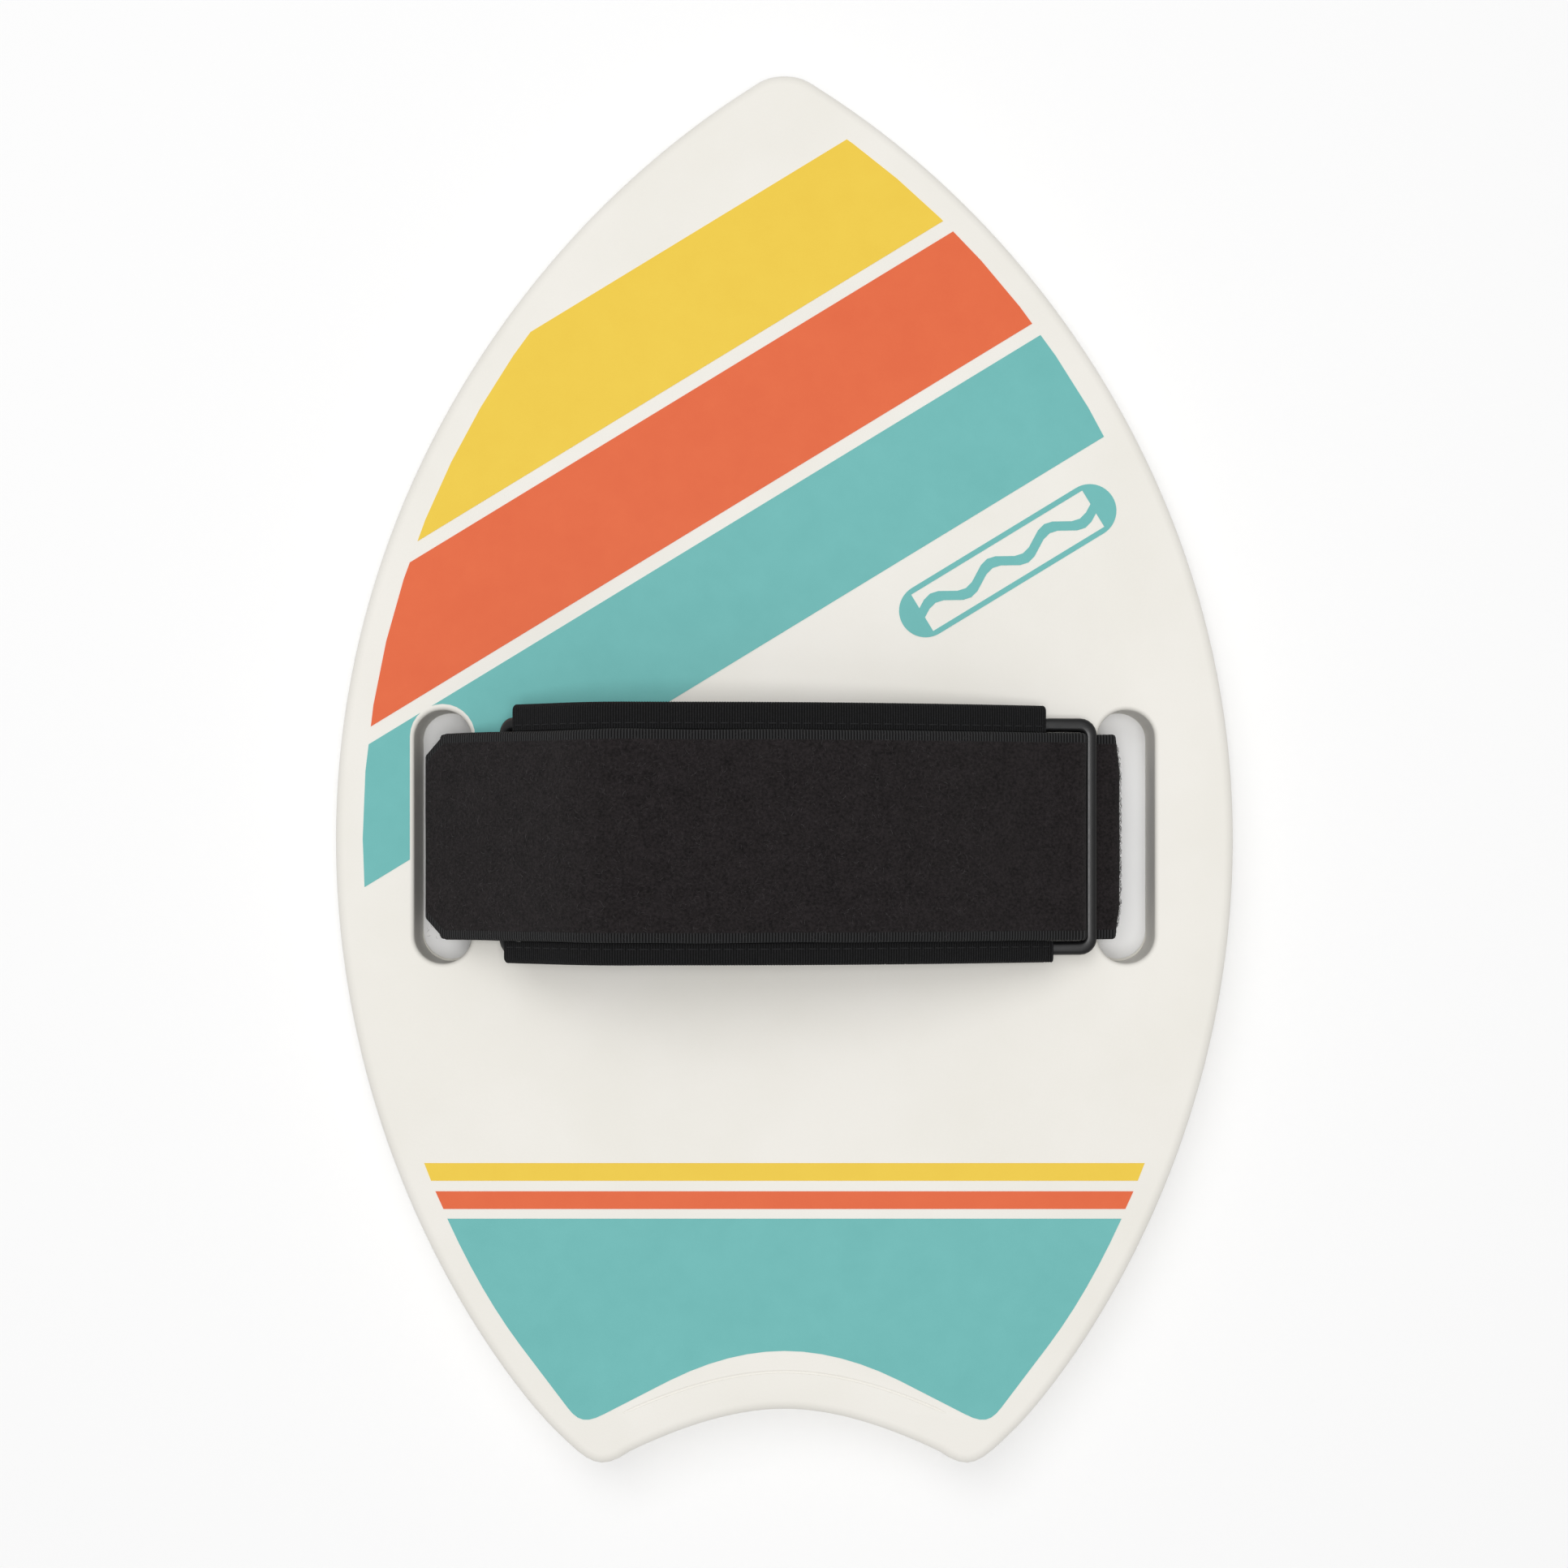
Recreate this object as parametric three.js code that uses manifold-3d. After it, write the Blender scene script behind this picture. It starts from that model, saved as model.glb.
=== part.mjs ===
// Bodysurfing hand board: a pointed foam board with a swallow tail, two strap slots and a
// padded hand strap. Millimetres, +Z up out of the deck, +Y towards the nose. The origin is
// under the middle of the board, on the plane it lies on.

import * as THREE from 'three';
import { mergeVertices } from 'three/addons/utils/BufferGeometryUtils.js';
import Module from 'manifold-3d';

const wasm = await Module();
wasm.setup();

// ---- Board ----------------------------------------------------------------------------
const BOARD_THICKNESS = 20;
const HALF_LENGTH = 170;
const HALF_WIDTH = 110;
const WIDEST_Y = -17;
const DECK_EDGE_RADIUS = 2.5;
const BOTTOM_EDGE_RADIUS = 1.2;
const SKIN = 1.2;
const SLICK = 1.5;
const OUTLINE_STEPS = [4, 14, 14, 8, 8];

// ---- Strap slots and the groove under the board -----------------------------------------
const SLOT_X = 83.6;
const SLOT_WIDTH = 14;
const SLOT_LENGTH = 62;
const SLOT_RIM = 0.8;
const STRAP_Y = -16.5;
const GROOVE_WIDTH = 54;
const GROOVE_DEPTH = 3.5;

// ---- Print --------------------------------------------------------------------------------
const FILM = 0.15;
const PRINT_MARGIN = 6.9;
const PRINT_END_Y = -125;
const STRIPE_ANGLE = THREE.MathUtils.degToRad(31.35);
const STRIPE_WIDTH = 29.3;
const STRIPE_PITCH = 32.75;
const FIRST_STRIPE_TOP = 123.6;
const LINE_WIDTH = 4.3;
const LINE_PITCH = 6.9;
const FIRST_LINE_TOP = -96.3;

// ---- Strap line ---------------------------------------------------------------------------
// The arch of the hand strap, seen from the tail: a straight run up from the left slot, a tight
// turn over the peak, a long turn down to the right, and a flatter straight run over the right
// ring. Places along it are lengths from the peak, and heights are above the top of the pad.
const PEAK = [-34, 50.8];
const LEFT_TURN_RADIUS = 30;
const LEFT_SLOPE = THREE.MathUtils.degToRad(36);
const RIGHT_TURN_RADIUS = 230;
const RIGHT_SLOPE = THREE.MathUtils.degToRad(25);
const RING_SLOPE = THREE.MathUtils.degToRad(6.6);
const ARCH_STEP = 5;

// ---- Strap and rings ------------------------------------------------------------------------
const STRAP_WIDTH = 50;
const STRAP = 1.6;
const UNDER_RUN_Z = 1.6;
const LEG_LEFT_X = -84.8;
const LEG_RIGHT_X = 81.2;
const BEND = 2.2;
const SPLIT_Z = 5;
const GAP = 0.3;
const RING_WIDTH = 16;
const RING_LENGTH = 57.4;
const RING_BAR = 3;
const RING_SIDE_BAR = 3.4;
const LEFT_RING_AT = -34;
const TAIL_END_AT = -61;
const TAIL_FOLD_AT = 32.5;

// ---- Pad ------------------------------------------------------------------------------------
const PAD_CENTRE_Y = -15.9;
const PAD_WIDTH = 62;
const PAD_START_AT = -34.5;
const PAD_END_AT = 100;
const TAPE = 0.7;
const COVER = 0.8;
const FOAM = 5.6;
const FRONT_LEG = 6.4;
const REAR_LEG = 5.2;
const TAB = 0.5;
const TAB_WIDTH = 46;
const TAB_TAIL = 8;
const BAR_CLEARANCE = 2.1;
const HOOK = 1;

// ---- Levels that follow from those ---------------------------------------------------------------
const DECK = BOARD_THICKNESS;
const FOAM_TOP = -COVER;
const FOAM_BOTTOM = FOAM_TOP - FOAM;
const PAD_BOTTOM = FOAM_BOTTOM - TAPE;
const RING_LEVEL = (FOAM_TOP + FOAM_BOTTOM) / 2;
const HOOK_BOTTOM = GAP;
const TAIL_BOTTOM = HOOK_BOTTOM + HOOK;
const TAIL_TOP = TAIL_BOTTOM + STRAP;
const TAIL_MIDDLE = (TAIL_BOTTOM + TAIL_TOP) / 2;
const BAR_OFFSET = (RING_WIDTH - RING_BAR) / 2;
const LOOP_LEVEL = RING_BAR / 2 + GAP + STRAP / 2;

const deckFoamColour = 0xefece5;
const yellow = 0xe5c74c;
const orange = 0xdf6945;
const teal = 0x70b5b2;
const black = 0x2b2b2d;

const board = new THREE.Group();

// ---- Building helpers -------------------------------------------------------------------------
function addPart(name, geometry, colour, roughness) {
  const material = new THREE.MeshStandardMaterial({ color: colour, roughness, metalness: 0 });
  const mesh = new THREE.Mesh(geometry, material);
  mesh.name = name;
  board.add(mesh);
  return mesh;
}

function weld(geometry) {
  const bare = geometry.clone();
  bare.deleteAttribute('normal');
  bare.deleteAttribute('uv');
  return mergeVertices(bare, 1e-4);
}

function toSolid(geometry) {
  const closed = weld(geometry);
  return new wasm.Manifold(new wasm.Mesh({
    numProp: 3,
    vertProperties: new Float32Array(closed.attributes.position.array),
    triVerts: new Uint32Array(closed.index.array),
  }));
}

function toGeometry(solid) {
  const mesh = solid.getMesh();
  const geometry = new THREE.BufferGeometry();
  geometry.setAttribute('position', new THREE.BufferAttribute(mesh.vertProperties, 3));
  geometry.setIndex(new THREE.BufferAttribute(mesh.triVerts, 1));
  geometry.computeVertexNormals();
  return geometry;
}

function box(xLow, xHigh, yLow, yHigh, zLow, zHigh) {
  const geometry = new THREE.BoxGeometry(xHigh - xLow, yHigh - yLow, zHigh - zLow);
  geometry.translate((xLow + xHigh) / 2, (yLow + yHigh) / 2, (zLow + zHigh) / 2);
  return geometry;
}

// A flat shape in XY raised from zLow to zHigh.
function slab(shape, zLow, zHigh, curveSegments = 6) {
  const settings = { depth: zHigh - zLow, bevelEnabled: false, curveSegments };
  return new THREE.ExtrudeGeometry(shape, settings).translate(0, 0, zLow);
}

// A flat shape in XZ, given by its (x, z) points, run along Y.
function slabAlongY(points, yCentre, width) {
  const shape = new THREE.Shape(points.map(([x, z]) => new THREE.Vector2(x, z)));
  const geometry = new THREE.ExtrudeGeometry(shape, { depth: width, bevelEnabled: false });
  return geometry.rotateX(Math.PI / 2).translate(0, yCentre + width / 2, 0);
}

// A closed outline moved inwards by a distance, or outwards where it is negative. The
// outline runs anticlockwise.
function inset(outline, distance) {
  const count = outline.length;
  return outline.map((point, i) => {
    const before = outline[(i + count - 1) % count];
    const after = outline[(i + 1) % count];
    const along = new THREE.Vector2().subVectors(point, before).normalize();
    along.add(new THREE.Vector2().subVectors(after, point).normalize()).normalize();
    return new THREE.Vector2(point.x - along.y * distance, point.y + along.x * distance);
  });
}

// A closed body whose edge follows an outline: each [inset, z] pair of the profile is one
// ring, from the lowest up, and the first and last rings are closed flat.
function roundedPlate(outline, profile) {
  const rings = profile.map(([distance, z]) => ({ z, points: inset(outline, distance) }));
  const positions = rings.flatMap(({ z, points }) => points.flatMap((p) => [p.x, p.y, z]));
  const count = outline.length;
  const index = [];
  for (let ring = 0; ring < rings.length - 1; ring += 1) {
    for (let i = 0; i < count; i += 1) {
      const a = ring * count + i;
      const b = ring * count + (i + 1) % count;
      index.push(a, b, b + count, a, b + count, a + count);
    }
  }
  const top = (rings.length - 1) * count;
  for (const [a, b, c] of THREE.ShapeUtils.triangulateShape(rings.at(-1).points, [])) {
    index.push(top + a, top + b, top + c);
  }
  for (const [a, b, c] of THREE.ShapeUtils.triangulateShape(rings[0].points, [])) {
    index.push(c, b, a);
  }
  const geometry = new THREE.BufferGeometry();
  geometry.setAttribute('position', new THREE.Float32BufferAttribute(positions, 3));
  geometry.setIndex(index);
  return geometry;
}

// The [inset, z] pairs of a quarter round at the top edge of a plate.
function roundedTop(startInset, zTop, radius, steps) {
  return Array.from({ length: steps + 1 }, (_, i) => {
    const angle = (i / steps) * Math.PI / 2;
    return [startInset + radius * (1 - Math.cos(angle)), zTop - radius * (1 - Math.sin(angle))];
  });
}

// The middle line of a strip with its corners rounded.
function rounded(corners, bend = BEND, steps = 4) {
  const line = [corners[0]];
  for (let i = 1; i < corners.length - 1; i += 1) {
    const corner = new THREE.Vector2(...corners[i]);
    const toBefore = new THREE.Vector2(...corners[i - 1]).sub(corner).normalize();
    const toAfter = new THREE.Vector2(...corners[i + 1]).sub(corner).normalize();
    const start = corner.clone().addScaledVector(toBefore, bend);
    const end = corner.clone().addScaledVector(toAfter, bend);
    const curve = new THREE.QuadraticBezierCurve(start, corner, end);
    line.push(...curve.getPoints(steps).map((p) => [p.x, p.y]));
  }
  line.push(corners.at(-1));
  return line;
}

// A strip of strap or tape along its middle line, given as (x, z) points.
function strip(line, thickness, yCentre, width) {
  const sides = [1, -1].map((side) => line.map(([x, z], i) => {
    const before = line[Math.max(i - 1, 0)];
    const after = line[Math.min(i + 1, line.length - 1)];
    const along = new THREE.Vector2(after[0] - before[0], after[1] - before[1]).normalize();
    const half = side * thickness / 2;
    return [x - along.y * half, z + along.x * half];
  }));
  return slabAlongY([...sides[0], ...sides[1].reverse()], yCentre, width);
}

// ---- The arch -----------------------------------------------------------------------------------
// The place on the smooth arch at a length from the peak, with its downward slope to the right.
function smoothArch(at) {
  const radius = at > 0 ? RIGHT_TURN_RADIUS : LEFT_TURN_RADIUS;
  const steepest = at > 0 ? RIGHT_SLOPE : LEFT_SLOPE;
  const side = Math.sign(at);
  const turned = Math.min(Math.abs(at) / radius, steepest);
  const rest = Math.abs(at) - turned * radius;
  const beyond = at > 0 && rest > 0 ? RING_SLOPE : turned;
  return {
    x: PEAK[0] + side * (radius * Math.sin(turned) + rest * Math.cos(beyond)),
    z: PEAK[1] - radius * (1 - Math.cos(turned)) - rest * Math.sin(beyond),
    slope: side * beyond,
  };
}

// The (x, z) of a point given by its length along the arch and its height above it. Between
// even steps the arch runs straight, so that layers of any length lie flush on each other.
function onArch([at, height]) {
  const before = Math.floor(at / ARCH_STEP);
  const share = at / ARCH_STEP - before;
  const ends = [before, before + 1].map((step) => {
    const { x, z, slope } = smoothArch(step * ARCH_STEP);
    return new THREE.Vector2(x + Math.sin(slope) * height, z + Math.cos(slope) * height);
  });
  const point = ends[0].lerp(ends[1], share);
  return [point.x, point.y];
}

// A line or outline given on the arch, with a corner added at each of its steps.
function followArch(corners, closed = true) {
  const points = [];
  const last = closed ? corners.length : corners.length - 1;
  for (let i = 0; i < last; i += 1) {
    const from = corners[i];
    const to = corners[(i + 1) % corners.length];
    points.push(onArch(from));
    const span = to[0] - from[0];
    const way = Math.sign(span);
    let step = way > 0 ? Math.floor(from[0] / ARCH_STEP) + 1 : Math.ceil(from[0] / ARCH_STEP) - 1;
    while (way !== 0 && way * (to[0] - step * ARCH_STEP) > 1e-6) {
      const share = (step * ARCH_STEP - from[0]) / span;
      points.push(onArch([step * ARCH_STEP, from[1] + (to[1] - from[1]) * share]));
      step += way;
    }
  }
  if (!closed) {
    points.push(onArch(corners.at(-1)));
  }
  return points;
}

// A layer of even thickness on the arch.
function archLayer(from, to, low, high, yLow, yHigh) {
  const outline = followArch([[from, low], [to, low], [to, high], [from, high]]);
  return slabAlongY(outline, (yLow + yHigh) / 2, yHigh - yLow);
}

// The straight frame of something that lies at a slope: lengths to the right, heights square to it.
function frameAt([x, z], slope) {
  return ([along, up]) => [
    x + along * Math.cos(slope) + up * Math.sin(slope),
    z - along * Math.sin(slope) + up * Math.cos(slope),
  ];
}

const padEndBar = onArch([PAD_END_AT, RING_LEVEL]);
const inPadEnd = frameAt(padEndBar, RIGHT_SLOPE);
const rightRingCentre = frameAt(padEndBar, RING_SLOPE)([BAR_OFFSET, 0]);
const inRightRing = frameAt(rightRingCentre, RING_SLOPE);
const leftRingCentre = onArch([LEFT_RING_AT, RING_LEVEL]);
const inLeftRing = frameAt(leftRingCentre, -LEFT_SLOPE);

// ---- Outlines -----------------------------------------------------------------------------------
// Anticlockwise from the nose, down the left side and back up the right.
function boardOutline() {
  const half = new THREE.Path();
  half.moveTo(0, HALF_LENGTH);
  half.bezierCurveTo(4.6, HALF_LENGTH, 6.4, 168.3, 9.1, 166.6);
  half.bezierCurveTo(64.4, 131.4, HALF_WIDTH, 63.7, HALF_WIDTH, WIDEST_Y);
  half.bezierCurveTo(HALF_WIDTH, -98.1, 66.6, -152.2, 55.6, -162.6);
  half.bezierCurveTo(48.2, -169.8, 45.4, -172.56, 37.9, -167.2);
  half.bezierCurveTo(25, -161, 12, -156.8, 0, -156.8);
  const left = half.curves.flatMap((curve, i) => {
    return curve.getPoints(OUTLINE_STEPS[i]).slice(0, -1).map((p) => new THREE.Vector2(-p.x, p.y));
  });
  const notch = half.getPoint(1);
  const right = left.slice(1).map((p) => new THREE.Vector2(-p.x, p.y)).reverse();
  return [...left, notch, ...right];
}

function slotOutline(x) {
  const radius = SLOT_WIDTH / 2;
  const straight = SLOT_LENGTH / 2 - radius;
  const path = new THREE.Path();
  path.absarc(x, STRAP_Y + 0.5 + straight, radius, 0, Math.PI);
  path.absarc(x, STRAP_Y + 0.5 - straight, radius, Math.PI, 2 * Math.PI);
  return path.getPoints(7);
}

function roundedRectangle(xCentre, yCentre, width, height, radius) {
  const x = xCentre - width / 2;
  const y = yCentre - height / 2;
  const shape = new THREE.Shape();
  shape.absarc(x + width - radius, y + radius, radius, -Math.PI / 2, 0);
  shape.absarc(x + width - radius, y + height - radius, radius, 0, Math.PI / 2);
  shape.absarc(x + radius, y + height - radius, radius, Math.PI / 2, Math.PI);
  shape.absarc(x + radius, y + radius, radius, Math.PI, 3 * Math.PI / 2);
  return shape;
}

// ---- Board pieces ---------------------------------------------------------------------------------
const outline = boardOutline();

// A strap slot as a cutter: straight through, flared where it meets the two faces.
function slotCutter(x, wall = 0) {
  const flare = -SLOT_RIM - wall;
  const part = -0.3 * SLOT_RIM - wall;
  const profile = [
    [flare, -1],
    [flare, 0],
    [part, 0.3 * SLOT_RIM],
    [-wall, SLOT_RIM],
    [-wall, DECK - SLOT_RIM],
    [part, DECK - 0.3 * SLOT_RIM],
    [flare, DECK],
    [flare, DECK + 1],
  ];
  return toSolid(roundedPlate(slotOutline(x), profile));
}

function cutSlots(solid, wall = 0) {
  return solid.subtract(slotCutter(-SLOT_X, wall)).subtract(slotCutter(SLOT_X, wall));
}

// The groove that takes the strap under the board, with a lining of the bottom sheet.
function grooveCutter(wall = 0) {
  const halfWidth = GROOVE_WIDTH / 2 + wall;
  const reach = SLOT_X - SLOT_WIDTH / 4;
  const yLow = STRAP_Y - halfWidth;
  return toSolid(box(-reach, reach, yLow, yLow + 2 * halfWidth, -1, GROOVE_DEPTH + wall));
}

function coreSolid(zLow) {
  const radius = DECK_EDGE_RADIUS - SKIN;
  return toSolid(roundedPlate(outline, [
    [SKIN, zLow],
    ...roundedTop(SKIN, DECK - SKIN, radius, 2),
  ]));
}

function addBoard() {
  const core = cutSlots(coreSolid(SLICK), SKIN).subtract(grooveCutter(SKIN));
  addPart('board_core', toGeometry(core), 0xf4f2ec, 0.9);

  const outer = toSolid(roundedPlate(outline, [
    [0, SLICK],
    ...roundedTop(0, DECK, DECK_EDGE_RADIUS, 3),
  ]));
  const hollow = cutSlots(coreSolid(SLICK - 1), SKIN);
  const skin = cutSlots(outer.subtract(hollow)).subtract(grooveCutter(SKIN));
  addPart('deck_skin', toGeometry(skin), deckFoamColour, 0.45);

  const round = BOTTOM_EDGE_RADIUS;
  const sheet = toSolid(roundedPlate(outline, [
    [round, 0],
    [round * 0.3, round * 0.3],
    [0, round],
    [0, SLICK],
  ]));
  const grooveLining = grooveCutter(SKIN).intersect(coreSolid(0));
  const slick = cutSlots(sheet.add(grooveLining)).subtract(grooveCutter());
  addPart('bottom_skin', toGeometry(slick), 0xeceae4, 0.3);
}

// ---- Print films, flat on the deck ------------------------------------------------------------------
const printOutline = inset(outline, PRINT_MARGIN).filter((point) => point.y > PRINT_END_Y);
const printArea = toSolid(roundedPlate(printOutline, [[0, DECK], [0, DECK + FILM]]));

function filmFrom(band) {
  const clear = [-SLOT_X, SLOT_X].map((x) => {
    const rim = inset(slotOutline(x), -SLOT_RIM - 0.2);
    return toSolid(roundedPlate(rim, [[0, DECK - 1], [0, DECK + 1]]));
  });
  return toSolid(band).intersect(printArea).subtract(clear[0]).subtract(clear[1]);
}

// A film that a slot cuts in two gives one node for each piece, the largest first.
function addFilm(names, band, colour) {
  const pieces = filmFrom(band).decompose().sort((a, b) => b.volume() - a.volume());
  names.forEach((name, i) => addPart(name, toGeometry(pieces[i]), colour, 0.4));
}

function addStripes() {
  const stripes = [
    [['stripe_yellow'], yellow],
    [['stripe_orange'], orange],
    [['stripe_teal', 'stripe_teal_outboard'], teal],
  ];
  stripes.forEach(([names, colour], i) => {
    const top = FIRST_STRIPE_TOP - i * STRIPE_PITCH;
    const band = box(-HALF_LENGTH, HALF_LENGTH, top - STRIPE_WIDTH, top, DECK - 1, DECK + 1);
    addFilm(names, band.rotateZ(STRIPE_ANGLE), colour);
  });
}

function addTailPrint() {
  const colours = { tail_line_yellow: 0xe2b942, tail_line_orange: 0xd95d39 };
  Object.entries(colours).forEach(([name, colour], i) => {
    const top = FIRST_LINE_TOP - i * LINE_PITCH;
    const band = box(-HALF_WIDTH, HALF_WIDTH, top - LINE_WIDTH, top, DECK - 1, DECK + 1);
    addFilm([name], band, colour);
  });
  addPart('tail_panel_teal', slab(tailPanelShape(), DECK, DECK + FILM), 0x6baeac, 0.4);
}

function tailPanelShape() {
  const top = FIRST_LINE_TOP - 2 * LINE_PITCH + 0.2;
  const half = new THREE.Path();
  half.moveTo(82.4, top);
  half.quadraticCurveTo(74.2, -128, 64.6, -140.8);
  half.lineTo(53, -156.1);
  half.bezierCurveTo(50.5, -159.4, 48.5, -160, 44, -157.6);
  half.lineTo(28, -149.4);
  half.quadraticCurveTo(13.5, -142.2, 0, -142.2);
  const right = half.getPoints(6);
  const left = right.map((p) => new THREE.Vector2(-p.x, p.y));
  return new THREE.Shape([...left, ...right.slice(0, -1).reverse()]);
}

// A plain badge: a pill-shaped frame with one wave running through it.
function addEmblem() {
  const length = 60;
  const height = 13;
  const stroke = 1.3;
  const waves = 3;
  const badge = roundedRectangle(0, 0, length, height, height / 2);
  const reach = (length - height) / 2 + 1;
  const inside = height / 2 - stroke;
  for (const side of [1, -1]) {
    const hole = new THREE.Path();
    const points = [];
    const steps = waves * 8;
    for (let i = 0; i <= steps; i += 1) {
      const x = -reach + (2 * reach * i) / steps;
      const wave = 1.7 * Math.sin((i / steps) * waves * 2 * Math.PI);
      points.push(new THREE.Vector2(x, wave + side * stroke));
    }
    points.push(new THREE.Vector2(reach, side * inside), new THREE.Vector2(-reach, side * inside));
    hole.setFromPoints(side > 0 ? points : points.reverse());
    badge.holes.push(hole);
  }
  const film = slab(badge, DECK, DECK + FILM);
  addPart('emblem', film.rotateZ(STRIPE_ANGLE).translate(54.6, 51, 0), 0x4f8f8f, 0.4);
}

// ---- Strap ------------------------------------------------------------------------------------------
const insideBar = RING_WIDTH / 2 - RING_BAR - GAP - STRAP / 2;
const strapLow = STRAP_Y - STRAP_WIDTH / 2;
const strapHigh = STRAP_Y + STRAP_WIDTH / 2;

function addStrap() {
  const strap = (name, line) => {
    addPart(name, strip(line, STRAP, STRAP_Y, STRAP_WIDTH), black, 0.95);
  };
  strap('strap_under_run', rounded([
    [LEG_LEFT_X, SPLIT_Z],
    [LEG_LEFT_X, UNDER_RUN_Z],
    [LEG_RIGHT_X, UNDER_RUN_Z],
    [LEG_RIGHT_X, SPLIT_Z],
  ]));

  // The left leg runs up to the left ring and is folded round its outer bar.
  const meet = -BAR_OFFSET - 12;
  const slotMouth = (LEG_LEFT_X - inLeftRing([0, LOOP_LEVEL])[0]) / Math.cos(LEFT_SLOPE);
  strap('strap_leg_left', rounded([
    [LEG_LEFT_X, SPLIT_Z + GAP],
    inLeftRing([slotMouth, LOOP_LEVEL]),
    inLeftRing([meet - GAP, LOOP_LEVEL]),
  ], 3));
  strap('strap_anchor_loop', rounded([
    [meet, LOOP_LEVEL],
    [-insideBar, LOOP_LEVEL],
    [-insideBar, -LOOP_LEVEL],
    [meet + 1, -LOOP_LEVEL],
  ], 1.4, 3).map(inLeftRing));

  // The right leg runs under the outer bar of the right ring and up through the ring.
  const join = insideBar + 5;
  const down = frameAt(inRightRing([0, -LOOP_LEVEL]), RING_SLOPE);
  strap('strap_leg_right', rounded([
    [LEG_RIGHT_X, SPLIT_Z + GAP],
    [LEG_RIGHT_X, down([join + 4, 0])[1]],
    down([join + GAP, 0]),
  ], 1.5));
  strap('strap_thread', rounded([
    [join, -LOOP_LEVEL],
    [insideBar, -LOOP_LEVEL],
    [insideBar, LOOP_LEVEL - STRAP / 2],
  ], 1.4, 3).map(inRightRing));
}

// The free end that passes up through the right ring and lies back over the pad.
function addTail() {
  const level = TAIL_MIDDLE - RING_LEVEL;
  const turn = rounded([
    [insideBar, LOOP_LEVEL - STRAP / 2 + GAP],
    [insideBar, level],
    [-1, level],
  ], 2, 4).map(inRightRing);
  const run = followArch([[PAD_END_AT - 5, TAIL_MIDDLE], [TAIL_FOLD_AT + GAP / 2, TAIL_MIDDLE]], false);
  addPart('tail_root', strip([...turn, ...run], STRAP, STRAP_Y, STRAP_WIDTH), black, 0.95);

  // The far corners of the free end are cut off.
  const start = TAIL_FOLD_AT - GAP / 2;
  const whole = toSolid(archLayer(TAIL_END_AT, start, TAIL_BOTTOM, TAIL_TOP, strapLow, strapHigh));
  const corners = [strapLow, strapHigh].map((y) => {
    const cutter = new THREE.BoxGeometry(7.5, 7.5, 12).rotateZ(Math.PI / 4).rotateY(-LEFT_SLOPE);
    const [x, z] = onArch([TAIL_END_AT, TAIL_MIDDLE]);
    return toSolid(cutter.translate(x, y, z));
  });
  const end = whole.subtract(corners[0]).subtract(corners[1]);
  addPart('tail_end', toGeometry(end), black, 0.95);

  const inset = 3;
  const hook = archLayer(-54, 24, HOOK_BOTTOM, TAIL_BOTTOM, strapLow + inset, strapHigh - inset);
  addPart('hook_patch', hook, 0x1f1f21, 0.8);
}

// ---- Rings ------------------------------------------------------------------------------------------
function addRing(name, [x, z], slope) {
  const edge = 0.6;
  const outer = roundedRectangle(0, 0, RING_WIDTH - 2 * edge, RING_LENGTH - 2 * edge, 3.4);
  const innerWidth = RING_WIDTH - 2 * RING_BAR + 2 * edge;
  const innerLength = RING_LENGTH - 2 * RING_SIDE_BAR + 2 * edge;
  outer.holes.push(roundedRectangle(0, 0, innerWidth, innerLength, 1.2));
  const geometry = new THREE.ExtrudeGeometry(outer, {
    depth: RING_BAR - 2 * edge,
    bevelThickness: edge,
    bevelSize: edge,
    bevelSegments: 1,
    curveSegments: 4,
  });
  geometry.translate(0, 0, edge - RING_BAR / 2);
  geometry.rotateY(slope);
  geometry.translate(x, STRAP_Y, z);
  addPart(name, geometry, 0x1c1c1e, 0.35);
}

// ---- Pad ---------------------------------------------------------------------------------------------
const layerLow = PAD_CENTRE_Y - PAD_WIDTH / 2 + TAPE;
const layerHigh = PAD_CENTRE_Y + PAD_WIDTH / 2 - TAPE;
const leftBarAt = LEFT_RING_AT + BAR_OFFSET;

function addPadLayers() {
  const lining = archLayer(PAD_START_AT, PAD_END_AT, PAD_BOTTOM, FOAM_BOTTOM, layerLow, layerHigh);
  addPart('pad_lining', lining, 0x29292b, 0.9);
  const cover = archLayer(PAD_START_AT, PAD_END_AT, FOAM_TOP, 0, layerLow, layerHigh);
  addPart('pad_top_cover', cover, 0x2d2d30, 0.95);

  // The foam is stepped at both ends to take the tails of the tabs.
  const left = leftBarAt + BAR_CLEARANCE;
  const right = PAD_END_AT - BAR_CLEARANCE;
  const low = FOAM_BOTTOM + TAPE;
  const high = FOAM_TOP - TAPE;
  const foam = followArch([
    [left, low],
    [left + TAB_TAIL, low],
    [left + TAB_TAIL, FOAM_BOTTOM],
    [right - TAB_TAIL, FOAM_BOTTOM],
    [right - TAB_TAIL, low],
    [right, low],
    [right, high],
    [right - TAB_TAIL, high],
    [right - TAB_TAIL, FOAM_TOP],
    [left + TAB_TAIL, FOAM_TOP],
    [left + TAB_TAIL, high],
    [left, high],
  ]);
  const centre = (layerLow + layerHigh) / 2;
  addPart('pad_foam', slabAlongY(foam, centre, layerHigh - layerLow), 0x3a3a3c, 0.9);
}

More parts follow.
